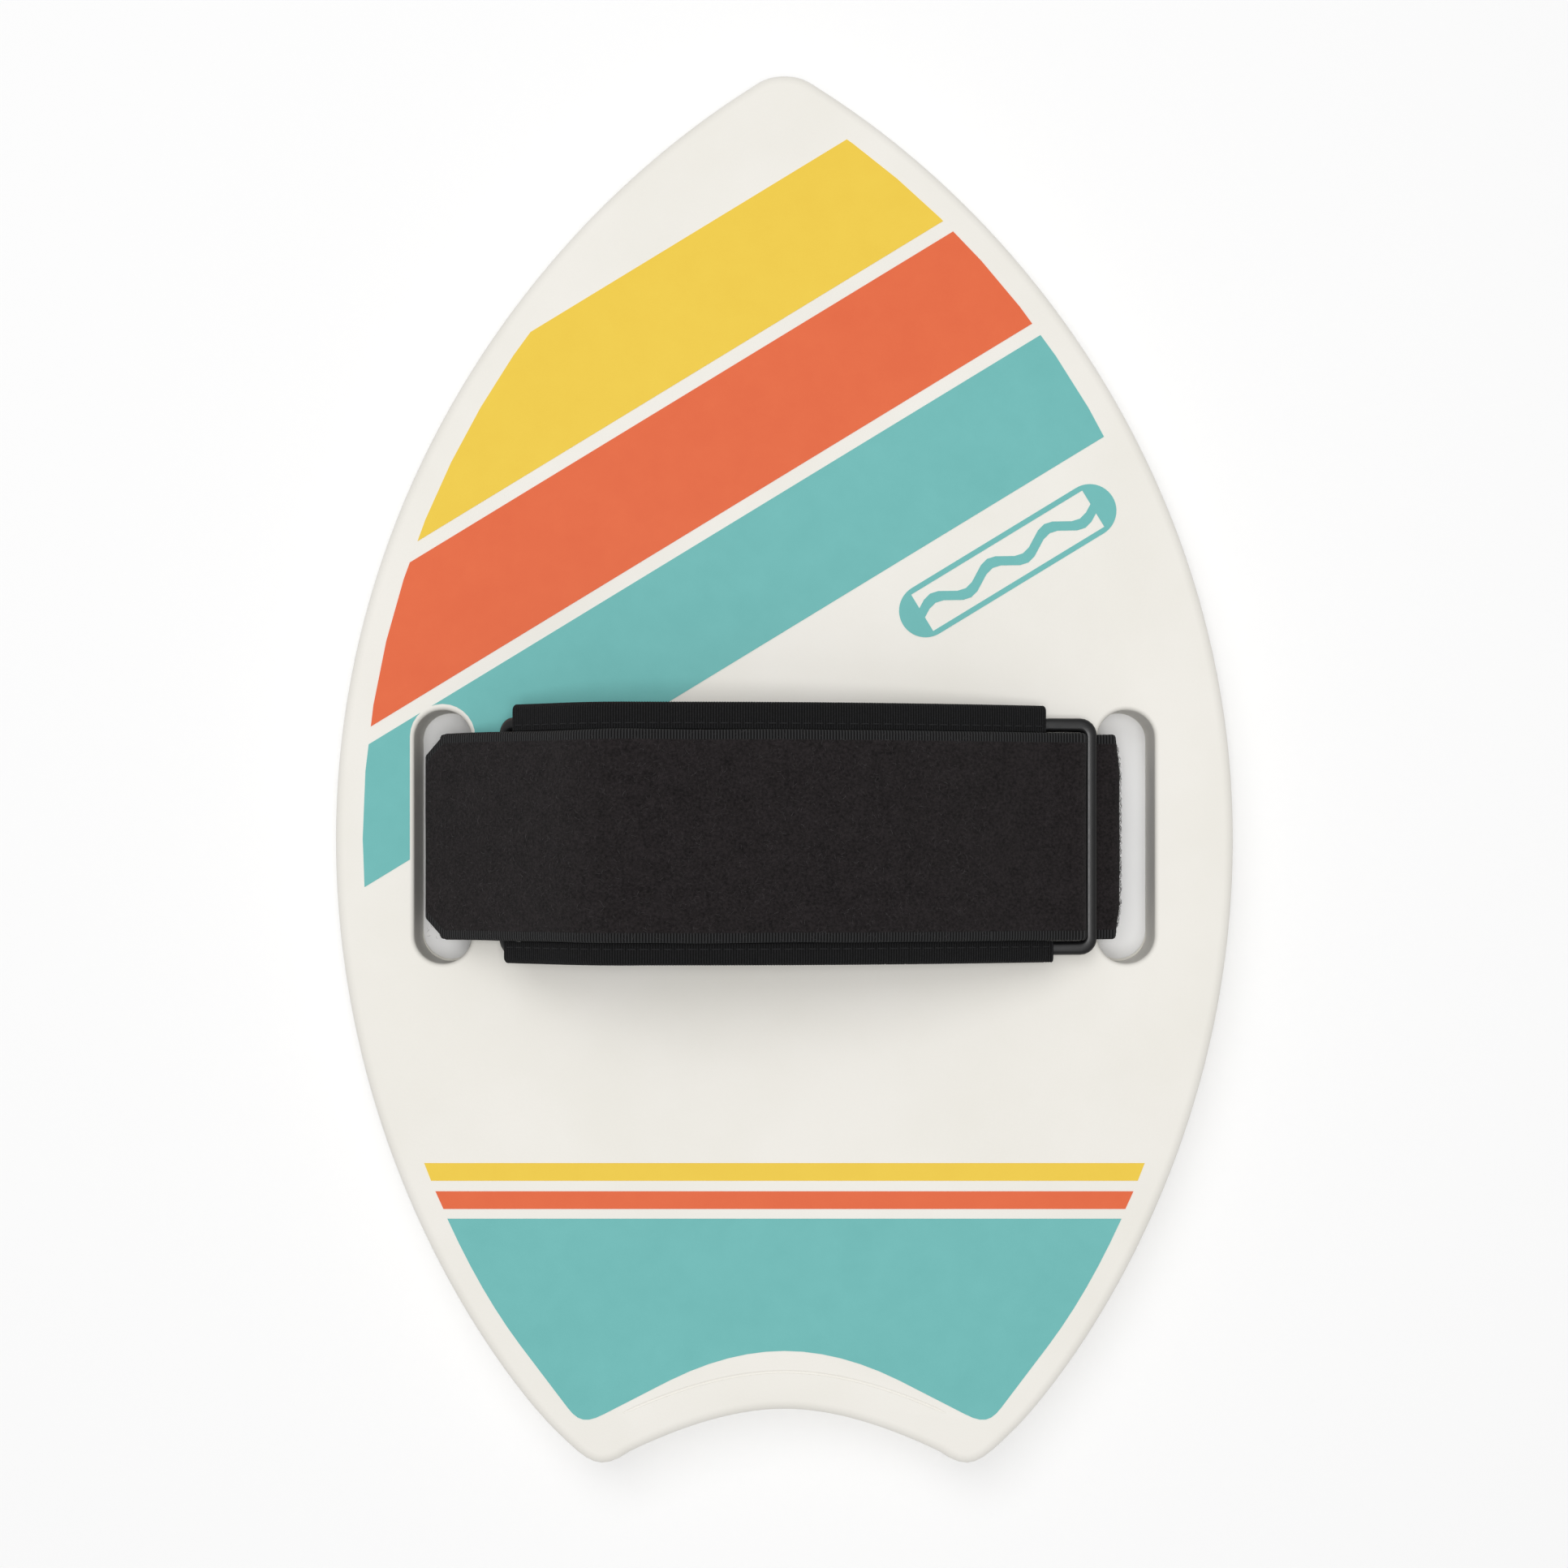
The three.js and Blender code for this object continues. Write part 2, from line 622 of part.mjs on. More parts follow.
// A tab of flat tape folded round the pad-side bar of a ring.
function addTab(name, barAt, side, inFrame) {
  const tailAt = barAt - side * TAB_TAIL;
  const up = BAR_CLEARANCE + TAPE / 2;
  const fold = side * (BAR_CLEARANCE + TAB / 2);
  const arm = (height) => followArch([[tailAt, RING_LEVEL + height], [barAt, RING_LEVEL + height]], false);
  const line = [...arm(-up), inFrame([fold, -up]), inFrame([fold, up]), ...arm(up).reverse()];
  const smooth = rounded(line, 0.3, 2);
  addPart(name, strip(smooth, TAB, STRAP_Y, TAB_WIDTH), 0x252527, 0.9);
}

// Ribbed tape folded over a long edge of the pad: two legs and the web that joins them.
function addBinding(name, side, width, from, to) {
  const edge = PAD_CENTRE_Y + side * PAD_WIDTH / 2;
  const ends = (inner) => [Math.min(edge, inner), Math.max(edge, inner)];
  const leg = ends(edge - side * width);
  const web = ends(edge - side * TAPE);
  const top = toSolid(archLayer(from, to, 0, TAPE, ...leg));
  const bottom = toSolid(archLayer(from, to, PAD_BOTTOM - TAPE, PAD_BOTTOM, ...leg));
  const join = toSolid(archLayer(from, to, PAD_BOTTOM - TAPE, TAPE, ...web));
  addPart(name, toGeometry(top.add(bottom).add(join)), 0x262628, 0.85);
}

addBoard();
addStripes();
addTailPrint();
addEmblem();
addStrap();
addTail();
addRing('left_ring', leftRingCentre, -LEFT_SLOPE);
addRing('right_ring', rightRingCentre, RING_SLOPE);
addPadLayers();
addTab('pad_tab_left', leftBarAt, -1, frameAt(onArch([leftBarAt, RING_LEVEL]), -LEFT_SLOPE));
addTab('pad_tab_right', PAD_END_AT, 1, inPadEnd);
addBinding('pad_binding_front', 1, FRONT_LEG, -35, 100);
addBinding('pad_binding_rear', -1, REAR_LEG, -37.7, 102);

export default board;
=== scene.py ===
import math
import random

import bpy
from mathutils import Matrix, Vector, noise
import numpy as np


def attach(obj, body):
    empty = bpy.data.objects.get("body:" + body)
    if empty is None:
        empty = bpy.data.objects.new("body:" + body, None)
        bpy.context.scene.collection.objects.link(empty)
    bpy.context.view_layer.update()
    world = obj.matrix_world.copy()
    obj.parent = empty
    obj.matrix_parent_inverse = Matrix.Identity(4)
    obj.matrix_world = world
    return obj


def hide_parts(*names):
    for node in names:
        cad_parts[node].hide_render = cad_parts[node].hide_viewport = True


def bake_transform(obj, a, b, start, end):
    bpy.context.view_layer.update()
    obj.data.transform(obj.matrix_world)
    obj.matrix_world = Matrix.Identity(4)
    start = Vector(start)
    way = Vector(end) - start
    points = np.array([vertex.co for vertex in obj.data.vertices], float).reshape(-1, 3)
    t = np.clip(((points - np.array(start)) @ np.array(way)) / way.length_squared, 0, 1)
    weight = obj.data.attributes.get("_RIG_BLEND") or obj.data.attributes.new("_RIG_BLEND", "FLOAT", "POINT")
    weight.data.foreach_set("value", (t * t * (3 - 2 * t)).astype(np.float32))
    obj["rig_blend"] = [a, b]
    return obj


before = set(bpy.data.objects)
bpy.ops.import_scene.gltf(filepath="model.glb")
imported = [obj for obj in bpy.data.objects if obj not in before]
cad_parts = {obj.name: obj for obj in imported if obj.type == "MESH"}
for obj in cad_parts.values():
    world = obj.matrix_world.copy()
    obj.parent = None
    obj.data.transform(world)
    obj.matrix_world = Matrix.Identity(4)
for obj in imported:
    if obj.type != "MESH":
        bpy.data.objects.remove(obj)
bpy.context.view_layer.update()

bl_info = {
    "name": "Hand Board",
    "version": (1, 0, 0),
    "blender": (4, 5, 0),
    "location": "3D View > Sidebar > Hand Board",
    "description": "Builds the looks of a bodysurfing hand board round its packed frame",
    "category": "Object",
}

# ---- Sizes shared with the frame, in millimetres ------------------------------------------
MM = 0.001
BOARD = 20.0
SLICK = 1.5
DECK_EDGE = 2.5
STRAP_Y = -16.5
STRAP_WIDTH = 50.0
STRAP = 1.6
SLOT_X = 83.6
SLOT_SIZE = (14.0, 62.0)
GROOVE_WIDTH = 54.0
GROOVE_DEPTH = 3.5
UNDER_RUN_Z = 1.6
LEG_LEFT_X = -84.8
LEG_RIGHT_X = 81.2

PEAK = (-34.0, 50.8)
LEFT_TURN_RADIUS = 30.0
LEFT_SLOPE = math.radians(36)
RIGHT_TURN_RADIUS = 230.0
RIGHT_SLOPE = math.radians(25)
RING_SLOPE = math.radians(6.6)

RING_LEVEL = -3.6
RING_SIZE = (16.0, 57.4)
RING_BAR = 3.0
RING_SIDE_BAR = 3.4
LEFT_RING_AT = -34.0
BAR_OFFSET = 6.5
LOOP_LEVEL = 2.6
INSIDE_BAR = 3.9

PAD_Y = -15.9
PAD_WIDTH = 62.0
PAD_START = -34.5
PAD_END = 100.0
PAD_BOTTOM = -7.1
TAPE = 0.7
TAIL_MIDDLE = 2.1
TAIL_FOLD = 32.5
TAIL_END = -61.0
HOOK_TOP = 1.3
HOOK_ENDS = (-54.0, 24.0)
SELVEDGE_RIB = 0.72
TAIL_SEAM = 84.0
CLIP_LENGTH = 5.8
SLOT_RIM = 1.2
SLOT_RADIUS = 6.9
CREASE_INSET = 9.5
CREASE_RADIUS = 0.45
BLEND_LOW = 4.0
BLEND_HIGH = 18.5
CLOTH_FRAMES = 20


# ---- The arch of the strap ------------------------------------------------------------------
def smooth_arch(at):
    """The (x, z) and slope of the pad's top at a length from the peak, all in millimetres."""
    radius, steepest = LEFT_TURN_RADIUS, LEFT_SLOPE
    if at > 0:
        radius, steepest = RIGHT_TURN_RADIUS, RIGHT_SLOPE
    side = math.copysign(1, at)
    turned = min(abs(at) / radius, steepest)
    rest = abs(at) - turned * radius
    beyond = RING_SLOPE if at > 0 and rest > 0 else turned
    x = PEAK[0] + side * (radius * math.sin(turned) + rest * math.cos(beyond))
    z = PEAK[1] - radius * (1 - math.cos(turned)) - rest * math.sin(beyond)
    return x, z, side * beyond


def on_arch(at, height=0.0):
    """The (x, z) of a point at a length along the arch and a height above it."""
    x, z, slope = smooth_arch(at)
    return x + math.sin(slope) * height, z + math.cos(slope) * height


def frame_at(origin, slope):
    """A function from lengths to the right and heights in a sloping frame to (x, z)."""
    def place(along, up):
        return (
            origin[0] + along * math.cos(slope) + up * math.sin(slope),
            origin[1] - along * math.sin(slope) + up * math.cos(slope),
        )
    return place


PAD_END_BAR = on_arch(PAD_END, RING_LEVEL)
RIGHT_RING = frame_at(PAD_END_BAR, RING_SLOPE)(BAR_OFFSET, 0)
in_right_ring = frame_at(RIGHT_RING, RING_SLOPE)
LEFT_RING = on_arch(LEFT_RING_AT, RING_LEVEL)
in_left_ring = frame_at(LEFT_RING, -LEFT_SLOPE)


def spread(start, end, step):
    """Evenly spaced values from start to end, both included."""
    count = max(1, round(abs(end - start) / step))
    return [start + (end - start) * i / count for i in range(count + 1)]


def even_line(points, step=0.8, soften=6):
    """A line of (x, z) points at an even step, its corners softened by averaging."""
    steps = []
    for (x0, z0), (x1, z1) in zip(points, points[1:]):
        length = math.hypot(x1 - x0, z1 - z0)
        for share in spread(0, 1, step / max(length, 1e-6))[:-1]:
            steps.append((x0 + (x1 - x0) * share, z0 + (z1 - z0) * share))
    steps.append(points[-1])
    for _ in range(soften):
        middle = [
            ((a[0] + 2 * b[0] + c[0]) / 4, (a[1] + 2 * b[1] + c[1]) / 4)
            for a, b, c in zip(steps, steps[1:], steps[2:])
        ]
        steps = [steps[0]] + middle + [steps[-1]]
    return steps


# ---- Outlines -------------------------------------------------------------------------------
def bezier(p0, p1, p2, p3, count):
    """Points along a cubic curve, without its last one."""
    points = []
    for i in range(count):
        t = i / count
        s = 1 - t
        weights = (s ** 3, 3 * s * s * t, 3 * s * t * t, t ** 3)
        points.append(tuple(
            sum(w * p[k] for w, p in zip(weights, (p0, p1, p2, p3))) for k in (0, 1)
        ))
    return points


def board_outline(density):
    """The board's outline, anticlockwise from the nose."""
    half = (
        bezier((0, 170), (4.6, 170), (6.4, 168.3), (9.1, 166.6), 4 + density // 8)
        + bezier((9.1, 166.6), (64.4, 131.4), (110, 63.7), (110, -17), density)
        + bezier((110, -17), (110, -98.1), (66.6, -152.2), (55.6, -162.6), density)
        + bezier((55.6, -162.6), (48.2, -169.8), (45.4, -172.56), (37.9, -167.2), 8)
        + bezier((37.9, -167.2), (25, -161), (12, -156.8), (0, -156.8), density // 3)
    )
    left = [(-x, y) for x, y in half[1:]]
    return left + [(0, -156.8)] + half[:0:-1] + [half[0]]


def rounded_rectangle(x, y, width, length, radius, steps=8):
    """Anticlockwise outline of a rectangle with rounded corners."""
    points = []
    for corner in range(4):
        sx = (1, -1, -1, 1)[corner]
        sy = (1, 1, -1, -1)[corner]
        for i in range(steps + 1):
            angle = math.radians(90) * (corner + i / steps)
            points.append((
                x + sx * (width / 2 - radius) + radius * math.cos(angle),
                y + sy * (length / 2 - radius) + radius * math.sin(angle),
            ))
    return points


def inset(outline, distance):
    """The outline moved inwards by a distance."""
    result = []
    count = len(outline)
    for i, point in enumerate(outline):
        before = Vector(outline[i - 1])
        after = Vector(outline[(i + 1) % count])
        here = Vector(point)
        first = (here - before).normalized()
        second = (after - here).normalized()
        normal = Vector((-first.y - second.y, first.x + second.x)).normalized()
        mitre = max(0.5, normal.dot(Vector((-first.y, first.x))))
        result.append(tuple(here + normal * distance / mitre))
    return result


# ---- Meshes -----------------------------------------------------------------------------------
def mesh_object(name, vertices, faces, material=None, smooth=40):
    """A mesh object from millimetre vertices, smooth except across sharp edges."""
    mesh = bpy.data.meshes.new(name)
    mesh.from_pydata([Vector(v) * MM for v in vertices], [], faces)
    mesh.validate()
    mesh.update()
    thing = bpy.data.objects.new(name, mesh)
    bpy.context.scene.collection.objects.link(thing)
    if material:
        mesh.materials.append(material)
    if smooth:
        smooth_by_angle(thing, smooth)
    return thing


def select_only(thing):
    """Makes a thing the only selected and the active one."""
    bpy.ops.object.select_all(action="DESELECT")
    thing.select_set(True)
    bpy.context.view_layer.objects.active = thing


def smooth_by_angle(thing, degrees):
    """Shades a thing smooth, with edges sharper than the angle left sharp."""
    select_only(thing)
    bpy.ops.object.shade_smooth_by_angle(angle=math.radians(degrees))


def loft(rings, capped=True):
    """Vertices and faces of a closed tube through rings of equal length."""
    count = len(rings[0])
    vertices = [point for ring in rings for point in ring]
    faces = []
    for k in range(len(rings) - 1):
        for i in range(count):
            j = (i + 1) % count
            a = k * count
            faces.append((a + i, a + j, a + count + j, a + count + i))
    if capped:
        faces.append(tuple(reversed(range(count))))
        faces.append(tuple(range(len(vertices) - count, len(vertices))))
    return vertices, faces


def plate(name, outline, profile, material=None, smooth=40):
    """A plate with shaped edges: profile lists (inset, z) from its bottom to its top."""
    rings = [[(x, y, z) for x, y in inset(outline, distance)] for distance, z in profile]
    return mesh_object(name, *loft(rings), material, smooth)


def round_profile(low, high, low_radius, high_radius, steps=7):
    """Insets and levels of an edge rounded at its bottom and its top."""
    profile = []
    for i in range(steps + 1 if low_radius else 1):
        angle = math.radians(90) * i / steps
        profile.append((low_radius * (1 - math.sin(angle)), low + low_radius * (1 - math.cos(angle))))
    for i in range(steps + 1 if high_radius else 1):
        angle = math.radians(90) * i / steps
        profile.append((high_radius * (1 - math.cos(angle)), high - high_radius * (1 - math.sin(angle))))
    return profile


def cut(thing, *cutters):
    """Takes the cutters out of a thing and removes them."""
    for cutter in cutters:
        modifier = thing.modifiers.new("cut", "BOOLEAN")
        modifier.operation = "DIFFERENCE"
        modifier.solver = "EXACT"
        modifier.object = cutter
        select_only(thing)
        bpy.ops.object.modifier_apply(modifier=modifier.name)
        bpy.data.objects.remove(cutter)


def block(name, x, y, z):
    """A plain box from ranges."""
    outline = [(x[0], y[0]), (x[1], y[0]), (x[1], y[1]), (x[0], y[1])]
    return plate(name, outline, [(0, z[0]), (0, z[1])], smooth=0)


# ---- Materials ---------------------------------------------------------------------------------
def linear(code):
    """A linear colour with alpha from an sRGB hex code."""
    values = [int(code[i:i + 2], 16) / 255 for i in (1, 3, 5)]
    return [v / 12.92 if v <= 0.04045 else ((v + 0.055) / 1.055) ** 2.4 for v in values] + [1.0]


def add_node(tree, kind, settings=None, **inputs):
    """Adds a node with its settings; each input is a value or the socket that feeds it."""
    item = tree.nodes.new(kind)
    for key, value in (settings or {}).items():
        setattr(item, key, value)
    for key, value in inputs.items():
        socket = item.inputs[int(key[1:])] if key[1:].isdigit() else item.inputs[key.replace("_", " ")]
        if isinstance(value, bpy.types.NodeSocket):
            tree.links.new(value, socket)
        else:
            socket.default_value = value
    return item


def new_material(name, **uniform):
    """A material with one Principled shader and values set directly on it."""
    material = bpy.data.materials.new(name)
    material.use_nodes = True
    shader = material.node_tree.nodes["Principled BSDF"]
    for key, value in uniform.items():
        shader.inputs[key.replace("_", " ")].default_value = value
    return material, material.node_tree, shader


def mixed(tree, share, first, second):
    """Output socket of a colour mix by a share."""
    mix = add_node(tree, "ShaderNodeMix", {"data_type": "RGBA"})
    for index, value in ((0, share), (6, first), (7, second)):
        if isinstance(value, bpy.types.NodeSocket):
            tree.links.new(value, mix.inputs[index])
        else:
            mix.inputs[index].default_value = value
    return mix.outputs[2]


def millimetres(tree):
    """Object coordinates in millimetres."""
    where = add_node(tree, "ShaderNodeTexCoord")
    scaled = add_node(tree, "ShaderNodeVectorMath", {"operation": "SCALE"}, Vector=where.outputs["Object"])
    scaled.inputs["Scale"].default_value = 1000
    return scaled.outputs["Vector"]


def noise_at(tree, place, scale, detail=3.0, roughness=0.55):
    """Output socket of a noise with its feature size set by scale per millimetre."""
    made = add_node(
        tree, "ShaderNodeTexNoise", None,
        Vector=place, Scale=scale, Detail=detail, Roughness=roughness,
    )
    return made.outputs["Fac"]


def ramp(tree, value, low, high):
    """Stretches a value so that low becomes 0 and high becomes 1."""
    made = add_node(tree, "ShaderNodeMapRange", None, Value=value)
    made.inputs["From Min"].default_value = low
    made.inputs["From Max"].default_value = high
    return made.outputs["Result"]


def bumped(tree, shader, height, distance, strength=1.0):
    """Links a height to the shader's normal as a bump in millimetres."""
    bump = add_node(tree, "ShaderNodeBump", None, Height=height, Strength=strength, Distance=distance * MM)
    tree.links.new(bump.outputs["Normal"], shader.inputs["Normal"])


def foam_skin_material(name, light, dark, roughness, bump):
    """Satin moulded foam: a nearly even colour, clouded a little, over a very fine grain."""
    material, tree, shader = new_material(name, Roughness=roughness, Specular_IOR_Level=0.35)
    place = millimetres(tree)
    clouds = ramp(tree, noise_at(tree, place, 0.035, 4.0), 0.35, 0.65)
    tree.links.new(mixed(tree, clouds, linear(dark), linear(light)), shader.inputs["Base Color"])
    grain = noise_at(tree, place, 1.6, 2.0)
    bumped(tree, shader, grain, bump)
    return material


def print_material(name, colour, worn):
    """Screen-printed film: flat ink with a slight cloudiness and the grain of the skin below."""
    material, tree, shader = new_material(name, Roughness=0.5, Specular_IOR_Level=0.18)
    place = millimetres(tree)
    clouds = ramp(tree, noise_at(tree, place, 0.12, 5.0, 0.6), 0.3, 0.7)
    tree.links.new(mixed(tree, clouds, linear(worn), linear(colour)), shader.inputs["Base Color"])
    bumped(tree, shader, noise_at(tree, place, 1.6, 2.0), 0.02)
    return material


def strap_material():
    """Brushed loop strap: a matted nap with pale and dark tufts, and firm ribbed selvedges whose rib crests
    are painted paler as a painted highlight, with painted shade between them.
    """
    material, tree, shader = new_material("brushed_loop_strap", Roughness=0.95, Specular_IOR_Level=0.1)
    shader.inputs["Sheen Weight"].default_value = 0.04
    shader.inputs["Sheen Roughness"].default_value = 0.6
    place = millimetres(tree)
    tufts = noise_at(tree, place, 1.5, 6.0, 0.72)
    patches = noise_at(tree, place, 0.22, 5.0, 0.75)
    nap = mixed(tree, ramp(tree, tufts, 0.36, 0.66), linear("#0c0a0a"), linear("#332e2f"))
    shade = mixed(tree, ramp(tree, patches, 0.34, 0.66), linear("#110f0f"), linear("#292526"))
    nap = mixed(tree, 0.4, nap, shade)
    marks = add_node(tree, "ShaderNodeUVMap", {"uv_map": "strap"})
    split = add_node(tree, "ShaderNodeSeparateXYZ", None, Vector=marks.outputs["UV"])
    away = add_node(tree, "ShaderNodeMath", {"operation": "ABSOLUTE"}, _0=split.outputs["Y"])
    edge = ramp(tree, away.outputs[0], STRAP_WIDTH / 2 - 2.5, STRAP_WIDTH / 2 - 2.2)
    per_millimetre = 2 * math.pi / SELVEDGE_RIB
    turns = add_node(
        tree, "ShaderNodeMath", {"operation": "MULTIPLY"}, _0=split.outputs["X"], _1=per_millimetre)
    wave = add_node(tree, "ShaderNodeMath", {"operation": "SINE"}, _0=turns.outputs[0])
    rib = ramp(tree, wave.outputs[0], -0.9, 0.9)
    # Selvedge colour: the rib crests are painted paler as a painted highlight and the troughs darker as
    # painted shade; the ribs' relief comes only from the bump.
    selvedge_painted_light = mixed(tree, rib, linear("#0b0b0b"), linear("#333334"))
    tree.links.new(mixed(tree, edge, nap, selvedge_painted_light), shader.inputs["Base Color"])
    fuzz = add_node(tree, "ShaderNodeMath", {"operation": "MULTIPLY_ADD"}, _0=tufts, _1=1.6, _2=patches)
    height = add_node(tree, "ShaderNodeMix", {"data_type": "FLOAT"})
    tree.links.new(edge, height.inputs[0])
    tree.links.new(fuzz.outputs[0], height.inputs[2])
    tree.links.new(rib, height.inputs[3])
    bumped(tree, shader, height.outputs[0], 0.25, 0.9)
    return material


def plain_cloth(name, dark, light, scale, bump):
    """Black woven or knitted cloth: even threads with a slight fleck."""
    material, tree, shader = new_material(name, Roughness=0.9, Specular_IOR_Level=0.12)
    shader.inputs["Sheen Weight"].default_value = 0.03
    place = millimetres(tree)
    threads = noise_at(tree, place, scale, 4.0, 0.65)
    share = ramp(tree, threads, 0.35, 0.65)
    tree.links.new(mixed(tree, share, linear(dark), linear(light)), shader.inputs["Base Color"])
    bumped(tree, shader, threads, bump)
    return material


def moulded_plastic(name, colour, roughness):
    """Black moulded plastic: satin with a fine spark-eroded grain and faint rubbed patches."""
    material, tree, shader = new_material(name, Specular_IOR_Level=0.5)
    shader.inputs["Base Color"].default_value = linear(colour)
    place = millimetres(tree)
    rubbed = noise_at(tree, place, 0.5, 4.0)
    spread_out = add_node(tree, "ShaderNodeMapRange", None, Value=rubbed)
    spread_out.inputs["To Min"].default_value = roughness - 0.08
    spread_out.inputs["To Max"].default_value = roughness + 0.1
    tree.links.new(spread_out.outputs["Result"], shader.inputs["Roughness"])
    bumped(tree, shader, noise_at(tree, place, 5.0, 2.0), 0.01)
    return material


MATERIALS = {}


def material(name):
    """A material of the board by name, made when it is first asked for."""
    makers = {
        # Moulded EVA foam skin: satin cream, no visible pores.
        "skin": lambda: foam_skin_material("foam_skin_cream", "#eeebe4", "#ebe8e0", 0.55, 0.03),
        # Polyethylene sheet: smoother and glossier than the deck.
        "slick": lambda: foam_skin_material("slick_sheet", "#ece9e1", "#e6e3da", 0.32, 0.01),
        # Screen ink on foam: flat colour with little shine.
        "yellow": lambda: print_material("ink_yellow", "#eecb46", "#ecc843"),
        "orange": lambda: print_material("ink_orange", "#e46a3f", "#e1663c"),
        "teal": lambda: print_material("ink_teal", "#70bab7", "#6cb6b3"),
        "strap": strap_material,
        # Knitted polyester over foam: dull black with a fine fleck.
        "cover": lambda: plain_cloth("pad_knit", "#101010", "#232324", 2.2, 0.2),
        # Grosgrain tape: the ground between the raised ribs is painted darker as painted shade, and the ribs
        # are painted paler as a painted highlight.
        "tape": lambda: plain_cloth("grosgrain_tape_painted_shade", "#0a0a0a", "#121212", 3.0, 0.05),
        "rib": lambda: plain_cloth("grosgrain_rib_painted_highlight", "#171718", "#262627", 3.5, 0.03),
        # Bonded nylon thread: a touch paler than the tape, so that the rows read.
        "thread": lambda: plain_cloth("bonded_thread", "#1c1c1d", "#303031", 5.0, 0.02),
        # Moulded nylon and acetal: hooks nearly matt, rings satin with a soft highlight.
        "hook": lambda: moulded_plastic("hook_nylon", "#161617", 0.5),
        "ring": lambda: moulded_plastic("ring_acetal", "#101011", 0.34),
        # Loose loop fibres: pale specks, drawn thicker than real ones so that they show.
        "lint": lambda: plain_cloth("loose_fibre", "#2c2a2b", "#555253", 1.0, 0.0),
    }
    if name not in MATERIALS:
        MATERIALS[name] = makers[name]()
    return MATERIALS[name]


# ---- Repeated shapes ------------------------------------------------------------------------------
def interface(tree, *sockets):
    """Adds named inputs and a geometry output to a geometry tree."""
    for name, kind in sockets:
        tree.interface.new_socket(name, in_out="INPUT", socket_type=kind)
    tree.interface.new_socket("Geometry", in_out="OUTPUT", socket_type="NodeSocketGeometry")


def repeat_tree():
    """Geometry tree that puts a shape on every vertex, turned by the vertex's own turn."""
    tree = bpy.data.node_groups.new("repeat_on_points", "GeometryNodeTree")
    interface(
        tree,
        ("Geometry", "NodeSocketGeometry"),
        ("Shape", "NodeSocketObject"),
        ("Material", "NodeSocketMaterial"),
    )
    given = add_node(tree, "NodeGroupInput")
    points = add_node(tree, "GeometryNodeMeshToPoints", None, Mesh=given.outputs["Geometry"])
    shape = add_node(tree, "GeometryNodeObjectInfo", None, Object=given.outputs["Shape"])
    turn = add_node(tree, "GeometryNodeInputNamedAttribute", {"data_type": "FLOAT_VECTOR"}, Name="turn")
    size = add_node(tree, "GeometryNodeInputNamedAttribute", {"data_type": "FLOAT"}, Name="size")
    put = add_node(
        tree, "GeometryNodeInstanceOnPoints", None,
        Points=points.outputs["Points"], Instance=shape.outputs["Geometry"],
        Rotation=turn.outputs["Attribute"], Scale=size.outputs["Attribute"],
    )
    real = add_node(tree, "GeometryNodeRealizeInstances", None, Geometry=put.outputs["Instances"])
    done = add_node(
        tree, "GeometryNodeSetMaterial", None,
        Geometry=real.outputs["Geometry"], Material=given.outputs["Material"],
    )
    add_node(tree, "NodeGroupOutput", None, Geometry=done.outputs["Geometry"])
    return tree


def repeated(name, places, shape, material_name, smooth=60):
    """One plain mesh of a shape repeated at places, each (x, y, z), turn matrix, size."""
    tree = bpy.data.node_groups.get("repeat_on_points")
    if tree is None:
        tree = repeat_tree()
    ids = {s.name: s.identifier for s in tree.interface.items_tree if s.in_out == "INPUT"}
    holder = mesh_object(name, [place for place, _, _ in places], [], smooth=0)
    attributes = holder.data.attributes
    attributes.new("turn", "FLOAT_VECTOR", "POINT")
    attributes.new("size", "FLOAT", "POINT")
    for i, (_, turn, size) in enumerate(places):
        attributes["turn"].data[i].vector = turn.to_euler()
        attributes["size"].data[i].value = size
    modifier = holder.modifiers.new("repeat", "NODES")
    modifier.node_group = tree
    modifier[ids["Shape"]] = shape
    modifier[ids["Material"]] = material(material_name)
    bpy.context.view_layer.update()
    ready = holder.evaluated_get(bpy.context.evaluated_depsgraph_get())
    mesh = bpy.data.meshes.new_from_object(ready)
    holder.modifiers.remove(modifier)
    holder.data = mesh
    bpy.data.objects.remove(shape)
    if smooth:
        smooth_by_angle(holder, smooth)
    return holder


def turned_on_arch(slope):
    """The turn of a shape drawn flat, x to the right, onto a slope."""
    return Matrix.Rotation(slope, 3, "Y")


def tube_shape(name, path, radius, sides=5, taper=1.0):
    """A thin closed tube along a path of millimetre points."""
    rings = []
    for k, point in enumerate(path):
        here = Vector(point)
        before = Vector(path[max(k - 1, 0)])
        after = Vector(path[min(k + 1, len(path) - 1)])
        along = (after - before).normalized()
        helper = Vector((0, 1, 0)) if abs(along.y) < 0.9 else Vector((1, 0, 0))
        first = along.cross(helper).normalized()
        second = along.cross(first)
        share = k / (len(path) - 1)
        size = radius * (1 + (taper - 1) * share)
        if k in (0, len(path) - 1):
            size *= 0.6
        rings.append([
            tuple(here + size * (first * math.cos(a) + second * math.sin(a)))
            for a in (2 * math.pi * i / sides for i in range(sides))
        ])
    return mesh_object(name, *loft(rings), smooth=0)


# ---- Pieces ------------------------------------------------------------------------------------------
def slot_cutter(x):
    """A cutter for one slot, with a softly rounded rim at the deck."""
    outline = rounded_rectangle(x, STRAP_Y, *SLOT_SIZE, SLOT_RADIUS, 12)
    profile = [(0, -5), (0, BOARD - SLOT_RIM)]
    for i in range(1, 7):
        angle = math.radians(90) * i / 6
        profile.append((-SLOT_RIM * (1 - math.cos(angle)), BOARD - SLOT_RIM * (1 - math.sin(angle))))
    profile.append((-SLOT_RIM, BOARD + 3))
    return plate("slot_cutter", outline, profile, smooth=0)


